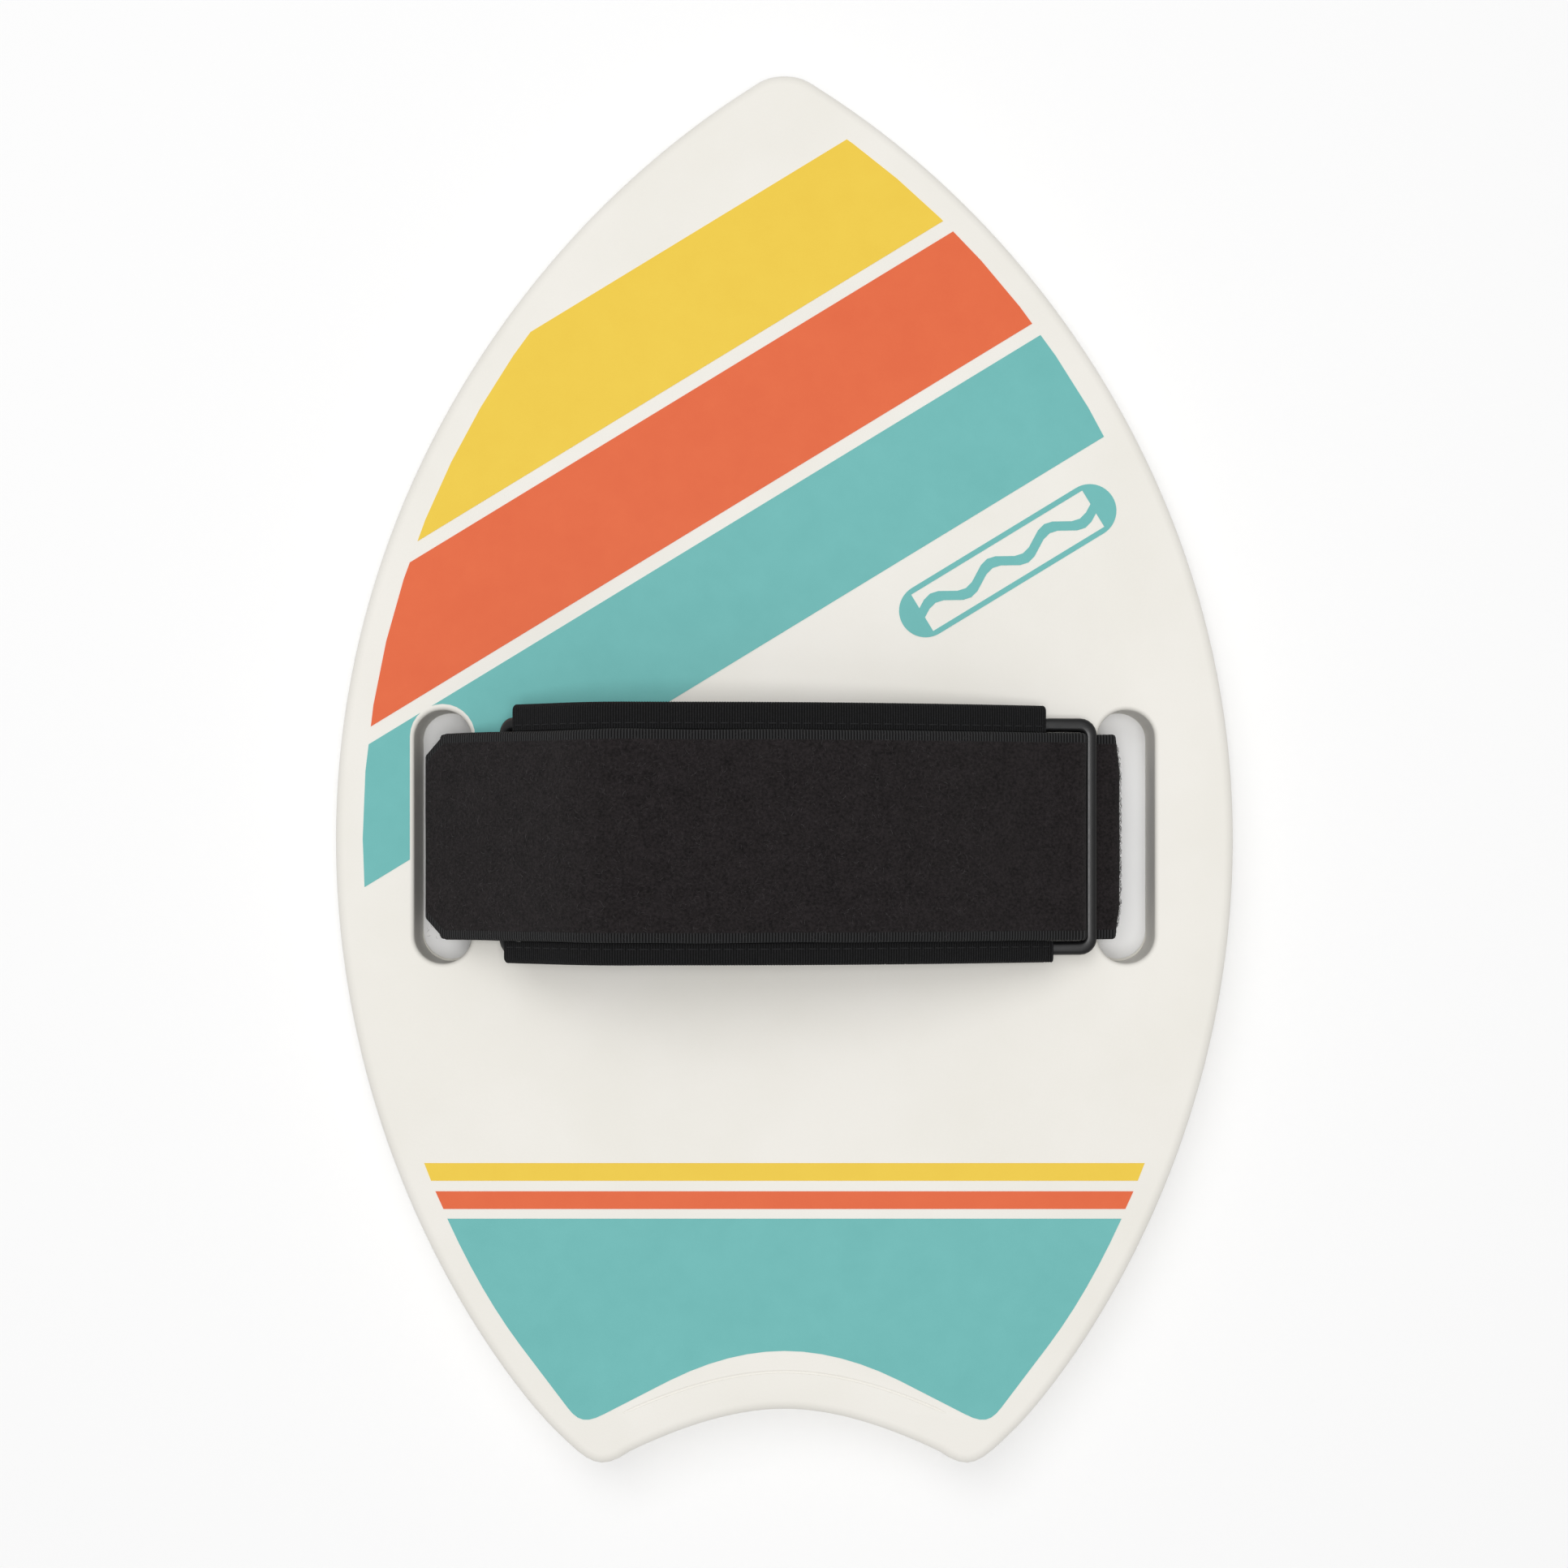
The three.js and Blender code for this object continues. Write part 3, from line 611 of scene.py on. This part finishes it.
def groove_cutter(low, high):
    """A cutter for the shallow groove that the strap runs in under the board."""
    half = GROOVE_WIDTH / 2
    return block("groove_cutter", (-SLOT_X, SLOT_X), (STRAP_Y - half, STRAP_Y + half), (low, high))


def crease_cutter():
    """A thin tube that presses the moulded crease beside the notch of the tail."""
    half = bezier((37.9, -167.2), (25, -161), (12, -156.8), (0, -156.8), 16)
    curve = half + [(0, -156.8)] + [(-x, y) for x, y in half[::-1]]
    path = []
    for before, here, after in zip(curve, curve[1:], curve[2:]):
        along = (Vector(after) - Vector(before)).normalized()
        away = Vector(here) + Vector((along.y, -along.x)) * CREASE_INSET
        path.append((away.x, away.y, BOARD + 0.18))
    return tube_shape("crease_cutter", path, CREASE_RADIUS, 8)


def build_board(settings):
    """The cream hull, over the thin slick sheet of the underside, with its slots and groove."""
    outline = board_outline(settings.outline_points)
    hull = plate("hull", outline, round_profile(SLICK, BOARD, 0.0, DECK_EDGE), material("skin"))
    cut(hull, slot_cutter(-SLOT_X), slot_cutter(SLOT_X), groove_cutter(-1, GROOVE_DEPTH + SLICK))
    cut(hull, crease_cutter())
    smooth_by_angle(hull, 35)
    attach(hull, "board")
    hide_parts("board_core", "deck_skin")
    return hull


PRINTS = {
    "stripe_yellow": "yellow",
    "stripe_orange": "orange",
    "stripe_teal": "teal",
    "stripe_teal_outboard": "teal",
    "tail_line_yellow": "yellow",
    "tail_line_orange": "orange",
    "tail_panel_teal": "teal",
    "emblem": "teal",
}


def band_section(width, thickness, count=26, corner=4):
    """Closed section of a band: (across, up) anticlockwise, with rounded edges."""
    radius = thickness / 2
    flat = width / 2 - radius
    across = spread(flat, -flat, 2 * flat / count)
    points = [(v, radius) for v in across]
    for i in range(1, corner):
        angle = math.radians(90 + 180 * i / corner)
        points.append((-flat + radius * math.cos(angle), radius * math.sin(angle)))
    points += [(-v, -radius) for v in across]
    for i in range(1, corner):
        angle = math.radians(-90 + 180 * i / corner)
        points.append((flat + radius * math.cos(angle), radius * math.sin(angle)))
    return points


def ribbon(name, line, clip=0.0, soften=6, seed=0.0, curl=0.0):
    """A closed band of strap along a middle line.

    clip cuts the corners of its last end, and curl bends its edges in where it stands upright.
    """
    line = even_line(line, 0.8, soften)
    section = band_section(STRAP_WIDTH, STRAP)
    lengths = [0.0]
    for a, b in zip(line, line[1:]):
        lengths.append(lengths[-1] + math.hypot(b[0] - a[0], b[1] - a[1]))
    rings = []
    marks = []
    for k, (x, z) in enumerate(line):
        before = line[max(k - 1, 0)]
        after = line[min(k + 1, len(line) - 1)]
        along = Vector((after[0] - before[0], after[1] - before[1])).normalized()
        left = lengths[-1] - lengths[k]
        narrow = clip * max(0.0, 1 - left / CLIP_LENGTH)
        ring = []
        for v, up in section:
            side = math.copysign(1, v)
            y = v - side * narrow * min(1.0, abs(v) / (STRAP_WIDTH / 2 - 6))
            wander = noise.noise(Vector((lengths[k] * 0.05 + seed, side * 7, 0))) * 0.25
            share = max(0.0, abs(v) / (STRAP_WIDTH / 2) - 0.8) / 0.2
            y += wander * share
            lump = noise.noise(Vector((lengths[k] * 0.12 + seed, v * 0.1, 3))) * 0.12
            bent = max(0.0, abs(v) / (STRAP_WIDTH / 2) - 0.6) / 0.4
            upright = abs(along.y) ** 3
            matted = noise.noise(Vector((v * 0.45, lengths[k] * 0.15, seed + 9))) * 0.9 if up > 0 else 0.0
            rise = up + lump * (1 - share) + upright * (curl * bent ** 2 + matted)
            ring.append((x - along.y * rise, STRAP_Y + y, z + along.x * rise))
            marks.append((lengths[k], v))
        rings.append(ring)
    vertices, faces = loft(rings)
    band = mesh_object(name, vertices, faces, material("strap"), 50)
    layer = band.data.uv_layers.new(name="strap")
    for loop in band.data.loops:
        layer.data[loop.index].uv = marks[loop.vertex_index]
    return band


def blend_upright(piece):
    """Blends a piece from the board to the hand strap over the height of the strap's legs."""
    start = (0, STRAP_Y * MM, BLEND_LOW * MM)
    end = (0, STRAP_Y * MM, BLEND_HIGH * MM)
    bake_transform(piece, "board", "hand_strap", start=start, end=end)


def blend_fold(piece):
    """Blends a piece across the fold of the free end."""
    first = on_arch(TAIL_FOLD + 6, TAIL_MIDDLE)
    last = on_arch(TAIL_FOLD - 6, TAIL_MIDDLE)
    start = (first[0] * MM, STRAP_Y * MM, first[1] * MM)
    end = (last[0] * MM, STRAP_Y * MM, last[1] * MM)
    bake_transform(piece, "tail_root", "tail_end", start=start, end=end)


def build_strap():
    """The strap: under the board, up both slots, round the rings, and back over the pad."""
    slot_mouth = (LEG_LEFT_X - in_left_ring(0, LOOP_LEVEL)[0]) / math.cos(LEFT_SLOPE)
    low_ring = in_right_ring(INSIDE_BAR + 9, -LOOP_LEVEL)
    lower = ribbon("strap_lower", [
        in_left_ring(-INSIDE_BAR - 13, -LOOP_LEVEL),
        in_left_ring(-INSIDE_BAR, -LOOP_LEVEL),
        in_left_ring(-INSIDE_BAR, LOOP_LEVEL),
        in_left_ring(slot_mouth, LOOP_LEVEL),
        (LEG_LEFT_X, UNDER_RUN_Z),
        (LEG_RIGHT_X, UNDER_RUN_Z),
        (LEG_RIGHT_X, low_ring[1]),
        in_right_ring(INSIDE_BAR, -LOOP_LEVEL),
        in_right_ring(INSIDE_BAR, 1.6),
    ], soften=4, curl=1.8)
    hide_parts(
        "strap_under_run", "strap_leg_left", "strap_anchor_loop", "strap_leg_right", "strap_thread")
    blend_upright(lower)

    level = TAIL_MIDDLE - RING_LEVEL
    base = ribbon("tail_base", [
        in_right_ring(INSIDE_BAR, 1.7),
        in_right_ring(INSIDE_BAR, level),
        in_right_ring(-3, level),
        *[on_arch(at, TAIL_MIDDLE) for at in spread(95, TAIL_SEAM, 2)],
    ], soften=5, seed=20)
    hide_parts("tail_root")
    low = in_right_ring(INSIDE_BAR, 1.9)
    high = in_right_ring(INSIDE_BAR, level + 0.4)
    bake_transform(base, "hand_strap", "tail_root",
             start=(low[0] * MM, STRAP_Y * MM, low[1] * MM), end=(high[0] * MM, STRAP_Y * MM, high[1] * MM))

    tail = ribbon("tail", [
        on_arch(at, TAIL_MIDDLE) for at in spread(TAIL_SEAM + 0.25, TAIL_END, 1)
    ], clip=4.8, soften=1, seed=20)
    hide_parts("tail_end")
    blend_fold(tail)
    return lower, base, tail


def ring_piece(name, centre, slope, body):
    """A moulded ring: a rounded bar run round a rounded rectangle."""
    path = rounded_rectangle(0, 0, RING_SIZE[0] - RING_BAR, RING_SIZE[1] - RING_SIDE_BAR, 2.6, 6)
    section = rounded_rectangle(0, 0, RING_BAR, RING_BAR, 0.9, 3)
    place = frame_at(centre, slope)
    rings = []
    count = len(path)
    for i, (x, y) in enumerate(path):
        before = Vector(path[i - 1])
        after = Vector(path[(i + 1) % count])
        along = (after - before).normalized()
        out = Vector((along.y, -along.x))
        ring = []
        for across, up in section:
            wide = across * (1 + 0.13 * abs(out.y))
            px, pz = place(x + out.x * wide, up)
            ring.append((px, STRAP_Y + y + out.y * wide, pz))
        rings.append(ring)
    rings.append(rings[0])
    vertices, faces = loft(rings, capped=False)
    size = len(section)
    total = size * count
    faces = [tuple(i % total for i in face) for face in faces]
    ring = mesh_object(name, vertices[:total], faces, material("ring"), 60)
    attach(ring, body)
    return ring


def build_rings():
    """Both rings, each in place of its frame node."""
    left = ring_piece("ring_left", LEFT_RING, -LEFT_SLOPE, "hand_strap")
    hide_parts("left_ring")
    right = ring_piece("ring_right", RIGHT_RING, RING_SLOPE, "right_ring")
    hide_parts("right_ring")
    return left, right


def arch_loft(name, section, ats, material_name=None, smooth=40):
    """A closed section of (y, height) points swept along the arch."""
    rings = []
    for at in ats:
        rings.append([(on_arch(at, height)[0], y, on_arch(at, height)[1]) for y, height in section])
    vertices, faces = loft(rings)
    faces = [tuple(reversed(face)) for face in faces]
    return mesh_object(name, vertices, faces, material(material_name) if material_name else None, smooth)


def build_pad(settings):
    """The padded cover, filled out by a short cloth simulation and opened at its ends for the rings."""
    low = PAD_Y - PAD_WIDTH / 2 + TAPE
    section = rounded_rectangle(PAD_Y, PAD_BOTTOM / 2, PAD_WIDTH - 2 * TAPE - 1, -PAD_BOTTOM - 0.7, 1.6, 4)
    pad = arch_loft("pad", section, spread(PAD_START + 0.6, PAD_END - 0.6, 3), "cover")
    fill_out(pad, settings)
    for at, side, place in (
        (LEFT_RING_AT + BAR_OFFSET, -1, in_left_ring),
        (PAD_END, 1, frame_at(PAD_END_BAR, RIGHT_SLOPE)),
    ):
        origin = on_arch(at, RING_LEVEL)
        slope = smooth_arch(at - side * 0.5)[2]
        mouth = frame_at(origin, slope)
        ends = (-2.2 * side, 16 * side)
        corners = [mouth(ends[0], -2.75), mouth(ends[1], -2.75), mouth(ends[1], 2.75), mouth(ends[0], 2.75)]
        if side < 0:
            corners.reverse()
        rings = [[(x, y, z) for x, z in corners] for y in (low - 5, low + PAD_WIDTH + 5)]
        vertices, faces = loft(rings)
        faces = [tuple(reversed(face)) for face in faces]
        cut(pad, mesh_object("mouth_cutter", vertices, faces, smooth=0))
    smooth_by_angle(pad, 40)
    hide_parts("pad_foam", "pad_top_cover", "pad_lining")
    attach(pad, "hand_strap")
    return pad


def fill_out(pad, settings):
    """Runs a short cloth simulation with inner pressure, keeping each point near its place."""
    remesh = pad.modifiers.new("remesh", "REMESH")
    remesh.mode = "VOXEL"
    remesh.voxel_size = settings.voxel
    select_only(pad)
    bpy.ops.object.modifier_apply(modifier=remesh.name)
    rest = [v.co.copy() for v in pad.data.vertices]
    cloth = pad.modifiers.new("cloth", "CLOTH")
    cloth.settings.use_pressure = True
    cloth.settings.uniform_pressure_force = settings.pressure
    cloth.settings.effector_weights.gravity = 0
    cloth.settings.quality = 5
    cloth.point_cache.frame_start = 1
    cloth.point_cache.frame_end = CLOTH_FRAMES
    for number in range(1, CLOTH_FRAMES + 1):
        bpy.context.scene.frame_set(number)
    ready = pad.evaluated_get(bpy.context.evaluated_depsgraph_get())
    moved = [v.co.copy() for v in ready.data.vertices]
    pad.modifiers.remove(cloth)
    bpy.context.scene.frame_set(1)
    half = PAD_WIDTH / 2 * MM
    for vertex, start, end in zip(pad.data.vertices, rest, moved):
        inside = half - abs(start.y - PAD_Y * MM)
        limit = settings.most * min(1.0, max(0.15, (inside - 0.006) / 0.006))
        step = end - start
        if step.length > limit:
            step = step.normalized() * limit
        vertex.co = start + step
    finer = pad.modifiers.new("finer", "SUBSURF")
    finer.levels = 1
    finer.render_levels = 1
    select_only(pad)
    bpy.ops.object.modifier_apply(modifier=finer.name)


BINDINGS = (
    ("front", 1, 6.4, -35.0, 100.0),
    ("rear", -1, 5.2, -37.7, 102.0),
)


def binding_contour(side, leg, rise):
    """A contour of a folded tape that stands rise proud of the pad, from its top edge to its bottom edge."""
    edge = PAD_Y + side * PAD_WIDTH / 2
    points = [(edge - side * leg, rise)]
    radius = 1.3
    for i in range(7):
        angle = math.radians(90 - 90 * i / 6)
        points.append((edge - side * radius + side * radius * math.cos(angle) - side * (TAPE - rise),
                       rise - radius + radius * math.sin(angle)))
    low = PAD_BOTTOM - rise
    for i in range(7):
        angle = math.radians(-90 * i / 6)
        points.append((edge - side * radius + side * radius * math.cos(angle) - side * (TAPE - rise),
                       low + radius + radius * math.sin(angle)))
    points.append((edge - side * leg, low))
    return points


def build_bindings(settings):
    """Folded grosgrain along both long edges, with its ribs as real ridges."""
    made = []
    for name, side, leg, start, end in BINDINGS:
        outside = binding_contour(side, leg, TAPE - 0.14)
        inside = binding_contour(side, leg, 0.02)
        section = outside + inside[::-1]
        if side > 0:
            section.reverse()
        base = arch_loft(f"binding_{name}", section, spread(start, end, 1.2), "tape", 50)
        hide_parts(f"pad_binding_{name}")
        contour = binding_contour(side, leg, TAPE - 0.1)
        rib = rib_shape(contour, side)
        places = []
        for at in spread(start + 0.3, end - 0.3, settings.rib_pitch):
            x, z, slope = smooth_arch(at)
            places.append(((x, 0, z), turned_on_arch(slope), 1.0))
        # The ribs take the paler rib cloth: a painted highlight on their crests over the tape's painted-shade
        # ground.
        ribs = repeated(f"binding_ribs_{name}", places, rib, "rib")
        for piece in (base, ribs):
            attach(piece, "hand_strap")
            made.append(piece)
    return made


def rib_shape(contour, side):
    """One rib of the tape: a low ridge that follows the folded contour."""
    profile = [(-0.2, -0.08), (-0.13, 0.07), (0.0, 0.11), (0.13, 0.07), (0.2, -0.08)]
    rings = []
    count = len(contour)
    for i, (y, height) in enumerate(contour):
        before = Vector(contour[max(i - 1, 0)])
        after = Vector(contour[min(i + 1, count - 1)])
        along = (after - before).normalized()
        out = Vector((-along.y, along.x)) * side
        rings.append([(x, y + out.x * up, height + out.y * up) for x, up in profile])
    vertices, faces = loft(rings)
    if side < 0:
        faces = [tuple(reversed(face)) for face in faces]
    return mesh_object("rib_shape", vertices, faces, smooth=0)


def build_hooks(settings):
    """The hook patch under the free end, with its hooks standing on it."""
    half = STRAP_WIDTH / 2 - 3
    section = [
        (STRAP_Y - half, HOOK_TOP), (STRAP_Y - half, HOOK_TOP - 0.35),
        (STRAP_Y + half, HOOK_TOP - 0.35), (STRAP_Y + half, HOOK_TOP),
    ]
    base = arch_loft("hook_tape", section[::-1], spread(*HOOK_ENDS, 1.5), "hook")
    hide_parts("hook_patch")
    path = [(0, 0, 0.05), (0, 0, -0.35), (0.08, 0, -0.55), (0.24, 0, -0.62), (0.34, 0, -0.5)]
    shape = tube_shape("hook_shape", path, 0.09, 4, 0.7)
    places = []
    for row, at in enumerate(spread(HOOK_ENDS[0] + 1, HOOK_ENDS[1] - 1, settings.hook_pitch)):
        x, z = on_arch(at, HOOK_TOP - 0.35)
        slope = smooth_arch(at)[2]
        for y in spread(STRAP_Y - half + 0.8, STRAP_Y + half - 0.8, settings.hook_pitch):
            places.append(((x, y + 0.4 * (row % 2), z), turned_on_arch(slope), 1.0))
    hooks = repeated("hooks", places, shape, "hook")
    for piece in (base, hooks):
        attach(piece, "tail_end")
    return base, hooks


def build_stitches(settings):
    """Rows of stitches that hold the bindings and the tabs."""
    path = [(-1.0, 0, -0.1), (-0.6, 0, 0.08), (0.6, 0, 0.08), (1.0, 0, -0.1)]
    shape = tube_shape("stitch_shape", path, 0.17)
    places = []
    for name, side, leg, start, end in BINDINGS:
        y = PAD_Y + side * (PAD_WIDTH / 2 - leg + 1.3)
        for at in spread(start + 2, end - 2, settings.stitch_pitch):
            for height, flip in ((TAPE, 0), (PAD_BOTTOM - TAPE, math.pi)):
                x, z = on_arch(at, height)
                turn = turned_on_arch(smooth_arch(at)[2]) @ Matrix.Rotation(flip, 3, "X")
                places.append(((x, y, z), turn, 1.0))
    for at in (LEFT_RING_AT + BAR_OFFSET + 5, PAD_END - 6):
        for y in spread(STRAP_Y - 22, STRAP_Y + 22, settings.stitch_pitch):
            x, z = on_arch(at, PAD_BOTTOM + 0.1)
            turn = turned_on_arch(smooth_arch(at)[2]) @ Matrix.Rotation(math.pi / 2, 3, "Z")
            turn = turn @ Matrix.Rotation(math.pi, 3, "X")
            places.append(((x, y, z), turn, 1.0))
    stitches = repeated("stitches", places, shape, "thread")
    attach(stitches, "hand_strap")
    return stitches


def build_nap(settings):
    """Loose fibres of the brushed nap, on the free end and on the right leg."""
    chance = random.Random(settings.seed)

    def fibre(name):
        path = [(-0.5, 0, 0), (-0.25, 0.08, 0.16), (0.05, 0.02, 0.24), (0.32, -0.1, 0.16), (0.5, -0.05, 0)]
        return tube_shape(name, path, 0.024, 3)

    places = []
    for _ in range(settings.fibres):
        at = chance.uniform(TAIL_END + 0.6, 83)
        v = chance.uniform(-24.6, 24.6)
        x, z = on_arch(at, TAIL_MIDDLE + STRAP / 2 - 0.03)
        turn = turned_on_arch(smooth_arch(at)[2]) @ Matrix.Rotation(chance.uniform(0, 2 * math.pi), 3, "Z")
        turn = turn @ Matrix.Rotation(chance.uniform(-0.5, 0.9), 3, "X")
        places.append(((x, STRAP_Y + v, z), turn, chance.uniform(0.5, 1.5)))
    tail_nap = repeated("tail_nap", places, fibre("fibre_tail"), "lint")
    blend_fold(tail_nap)

    places = []
    for _ in range(settings.fibres // 4):
        v = chance.uniform(-24, 24)
        z = chance.uniform(12, 21.5)
        bent = max(0.0, abs(v) / (STRAP_WIDTH / 2) - 0.6) / 0.4
        x = LEG_RIGHT_X + STRAP / 2 - 1.8 * bent ** 2
        turn = Matrix.Rotation(math.pi / 2, 3, "Y")
        turn = turn @ Matrix.Rotation(chance.uniform(0, 2 * math.pi), 3, "Z")
        turn = turn @ Matrix.Rotation(chance.uniform(-1.0, 1.0), 3, "X")
        places.append(((x, STRAP_Y + v, z), turn, chance.uniform(0.6, 1.8)))
    leg_nap = repeated("leg_nap", places, fibre("fibre_leg"), "lint")
    blend_upright(leg_nap)
    return tail_nap, leg_nap


def build_prints():
    """The printed areas, with the frame's own thin films as their shapes."""
    for name, ink in PRINTS.items():
        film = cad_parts[name]
        film.data.materials.clear()
        film.data.materials.append(material(ink))
    for name in ("pad_tab_left", "pad_tab_right"):
        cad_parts[name].data.materials.clear()
        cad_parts[name].data.materials.append(material("tape"))
    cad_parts["bottom_skin"].data.materials.clear()
    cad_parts["bottom_skin"].data.materials.append(material("slick"))


def build_stage(settings):
    """A pale floor, soft lights and the camera straight above the board."""
    floor = block("floor", (-9000, 9000), (-9000, 9000), (-10, -0.05))
    paper, _, shader = new_material("floor_paper", Roughness=0.9, Specular_IOR_Level=0.1)
    shader.inputs["Base Color"].default_value = linear("#fcfcfc")
    floor.data.materials.append(paper)
    world = bpy.data.worlds.new("studio")
    world.use_nodes = True
    light = world.node_tree.nodes["Background"]
    light.inputs["Color"].default_value = (1.0, 1.0, 1.0, 1.0)
    light.inputs["Strength"].default_value = settings.sky
    bpy.context.scene.world = world
    bpy.context.scene.view_settings.view_transform = "Standard"
    for name, place, size, power in (
        ("key_soft", (-0.32, 0.73, 1.65), 1.15, settings.key),
        ("top_soft", (0.02, -0.12, 1.7), 0.55, settings.top),
    ):
        lamp = bpy.data.lights.new(name, "AREA")
        lamp.size = size
        lamp.energy = power
        thing = bpy.data.objects.new(name, lamp)
        thing.location = place
        thing.rotation_euler = (-Vector(place)).to_track_quat("-Z", "Y").to_euler()
        bpy.context.scene.collection.objects.link(thing)
    camera = bpy.data.cameras.new("camera")
    camera.sensor_width = 36
    camera.lens = settings.lens
    camera.shift_y = settings.shift
    camera.clip_start = 0.01
    eye = bpy.data.objects.new("camera", camera)
    eye.location = settings.eye
    bpy.context.scene.collection.objects.link(eye)
    bpy.context.scene.camera = eye


# ---- Settings -------------------------------------------------------------------------------------------
class HandBoardSettings(bpy.types.PropertyGroup):
    """Sizes of the fine detail and of the studio."""

    outline_points: bpy.props.IntProperty(
        name="Outline points", description="Points along each long side of the board",
        default=90, min=20, max=300)
    voxel: bpy.props.FloatProperty(
        name="Cloth grid", description="Grid size of the pad's cloth", default=0.003, unit="LENGTH")
    pressure: bpy.props.FloatProperty(
        name="Pressure", description="Inner pressure that fills the pad", default=4.0)
    most: bpy.props.FloatProperty(
        name="Most movement", description="Furthest that a point of the pad may move",
        default=0.0006, unit="LENGTH")
    rib_pitch: bpy.props.FloatProperty(
        name="Rib pitch", description="Distance between tape ribs in millimetres", default=0.63)
    hook_pitch: bpy.props.FloatProperty(
        name="Hook pitch", description="Distance between hooks in millimetres", default=1.7)
    stitch_pitch: bpy.props.FloatProperty(
        name="Stitch pitch", description="Distance between stitches in millimetres", default=2.8)
    fibres: bpy.props.IntProperty(
        name="Fibres", description="Loose fibres on the free end of the strap", default=3600, min=0, max=8000)
    seed: bpy.props.IntProperty(name="Seed", description="Seed of the scattered fibres", default=7)
    sky: bpy.props.FloatProperty(name="Sky", description="Strength of the even light", default=0.4)
    key: bpy.props.FloatProperty(name="Key", description="Power of the main lamp", default=8.2, unit="POWER")
    top: bpy.props.FloatProperty(
        name="Top", description="Power of the lamp above", default=12.2, unit="POWER")
    lens: bpy.props.FloatProperty(
        name="Lens", description="Focal length in millimetres", default=67.6, unit="CAMERA")
    shift: bpy.props.FloatProperty(name="Shift", description="Upward shift of the lens", default=0.0433)
    eye: bpy.props.FloatVectorProperty(
        name="Eye", description="Place of the camera",
        default=(-0.0001, -0.0202, 0.74), subtype="TRANSLATION")


class BuildStep:
    """What the steps share: each runs its builder with the scene's settings."""

    bl_options = {"REGISTER", "UNDO"}

    def execute(self, context):
        self.build(context.scene.hand_board)
        return {"FINISHED"}


class HANDBOARD_OT_board(BuildStep, bpy.types.Operator):
    """Build the hull"""

    bl_idname = "hand_board.board"
    bl_label = "Board"

    def build(self, settings):
        build_board(settings)


class HANDBOARD_OT_prints(BuildStep, bpy.types.Operator):
    """Give the printed areas their inks"""

    bl_idname = "hand_board.prints"
    bl_label = "Prints"

    def build(self, settings):
        build_prints()


class HANDBOARD_OT_strap(BuildStep, bpy.types.Operator):
    """Build the strap and its free end"""

    bl_idname = "hand_board.strap"
    bl_label = "Strap"

    def build(self, settings):
        build_strap()


class HANDBOARD_OT_nap(BuildStep, bpy.types.Operator):
    """Build the loose fibres of the strap's nap"""

    bl_idname = "hand_board.nap"
    bl_label = "Nap"

    def build(self, settings):
        build_nap(settings)


class HANDBOARD_OT_rings(BuildStep, bpy.types.Operator):
    """Build both rings"""

    bl_idname = "hand_board.rings"
    bl_label = "Rings"

    def build(self, settings):
        build_rings()


class HANDBOARD_OT_pad(BuildStep, bpy.types.Operator):
    """Build the pad, its bindings and its stitches"""

    bl_idname = "hand_board.pad"
    bl_label = "Pad"

    def build(self, settings):
        build_pad(settings)
        build_bindings(settings)
        build_stitches(settings)


class HANDBOARD_OT_hooks(BuildStep, bpy.types.Operator):
    """Build the hook patch under the free end"""

    bl_idname = "hand_board.hooks"
    bl_label = "Hooks"

    def build(self, settings):
        build_hooks(settings)


class HANDBOARD_OT_stage(BuildStep, bpy.types.Operator):
    """Build the floor, the lights and the camera"""

    bl_idname = "hand_board.stage"
    bl_label = "Stage"

    def build(self, settings):
        build_stage(settings)


STEPS = (
    HANDBOARD_OT_board,
    HANDBOARD_OT_prints,
    HANDBOARD_OT_strap,
    HANDBOARD_OT_nap,
    HANDBOARD_OT_rings,
    HANDBOARD_OT_pad,
    HANDBOARD_OT_hooks,
    HANDBOARD_OT_stage,
)


class HANDBOARD_PT_panel(bpy.types.Panel):
    """The add-on's panel in the sidebar"""

    bl_idname = "HANDBOARD_PT_panel"
    bl_label = "Hand Board"
    bl_space_type = "VIEW_3D"
    bl_region_type = "UI"
    bl_category = "Hand Board"

    def draw(self, context):
        settings = context.scene.hand_board
        for name in HandBoardSettings.__annotations__:
            self.layout.prop(settings, name)
        for step in STEPS:
            self.layout.operator(step.bl_idname)


CLASSES = (HandBoardSettings, *STEPS, HANDBOARD_PT_panel)


def register():
    for item in CLASSES:
        bpy.utils.register_class(item)
    bpy.types.Scene.hand_board = bpy.props.PointerProperty(type=HandBoardSettings)


def unregister():
    del bpy.types.Scene.hand_board
    for item in reversed(CLASSES):
        bpy.utils.unregister_class(item)


def build_all():
    """Registers the add-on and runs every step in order."""
    register()
    bpy.ops.hand_board.board()
    bpy.ops.hand_board.prints()
    bpy.ops.hand_board.strap()
    bpy.ops.hand_board.nap()
    bpy.ops.hand_board.rings()
    bpy.ops.hand_board.pad()
    bpy.ops.hand_board.hooks()
    bpy.ops.hand_board.stage()


if __name__ == "__main__":
    build_all()
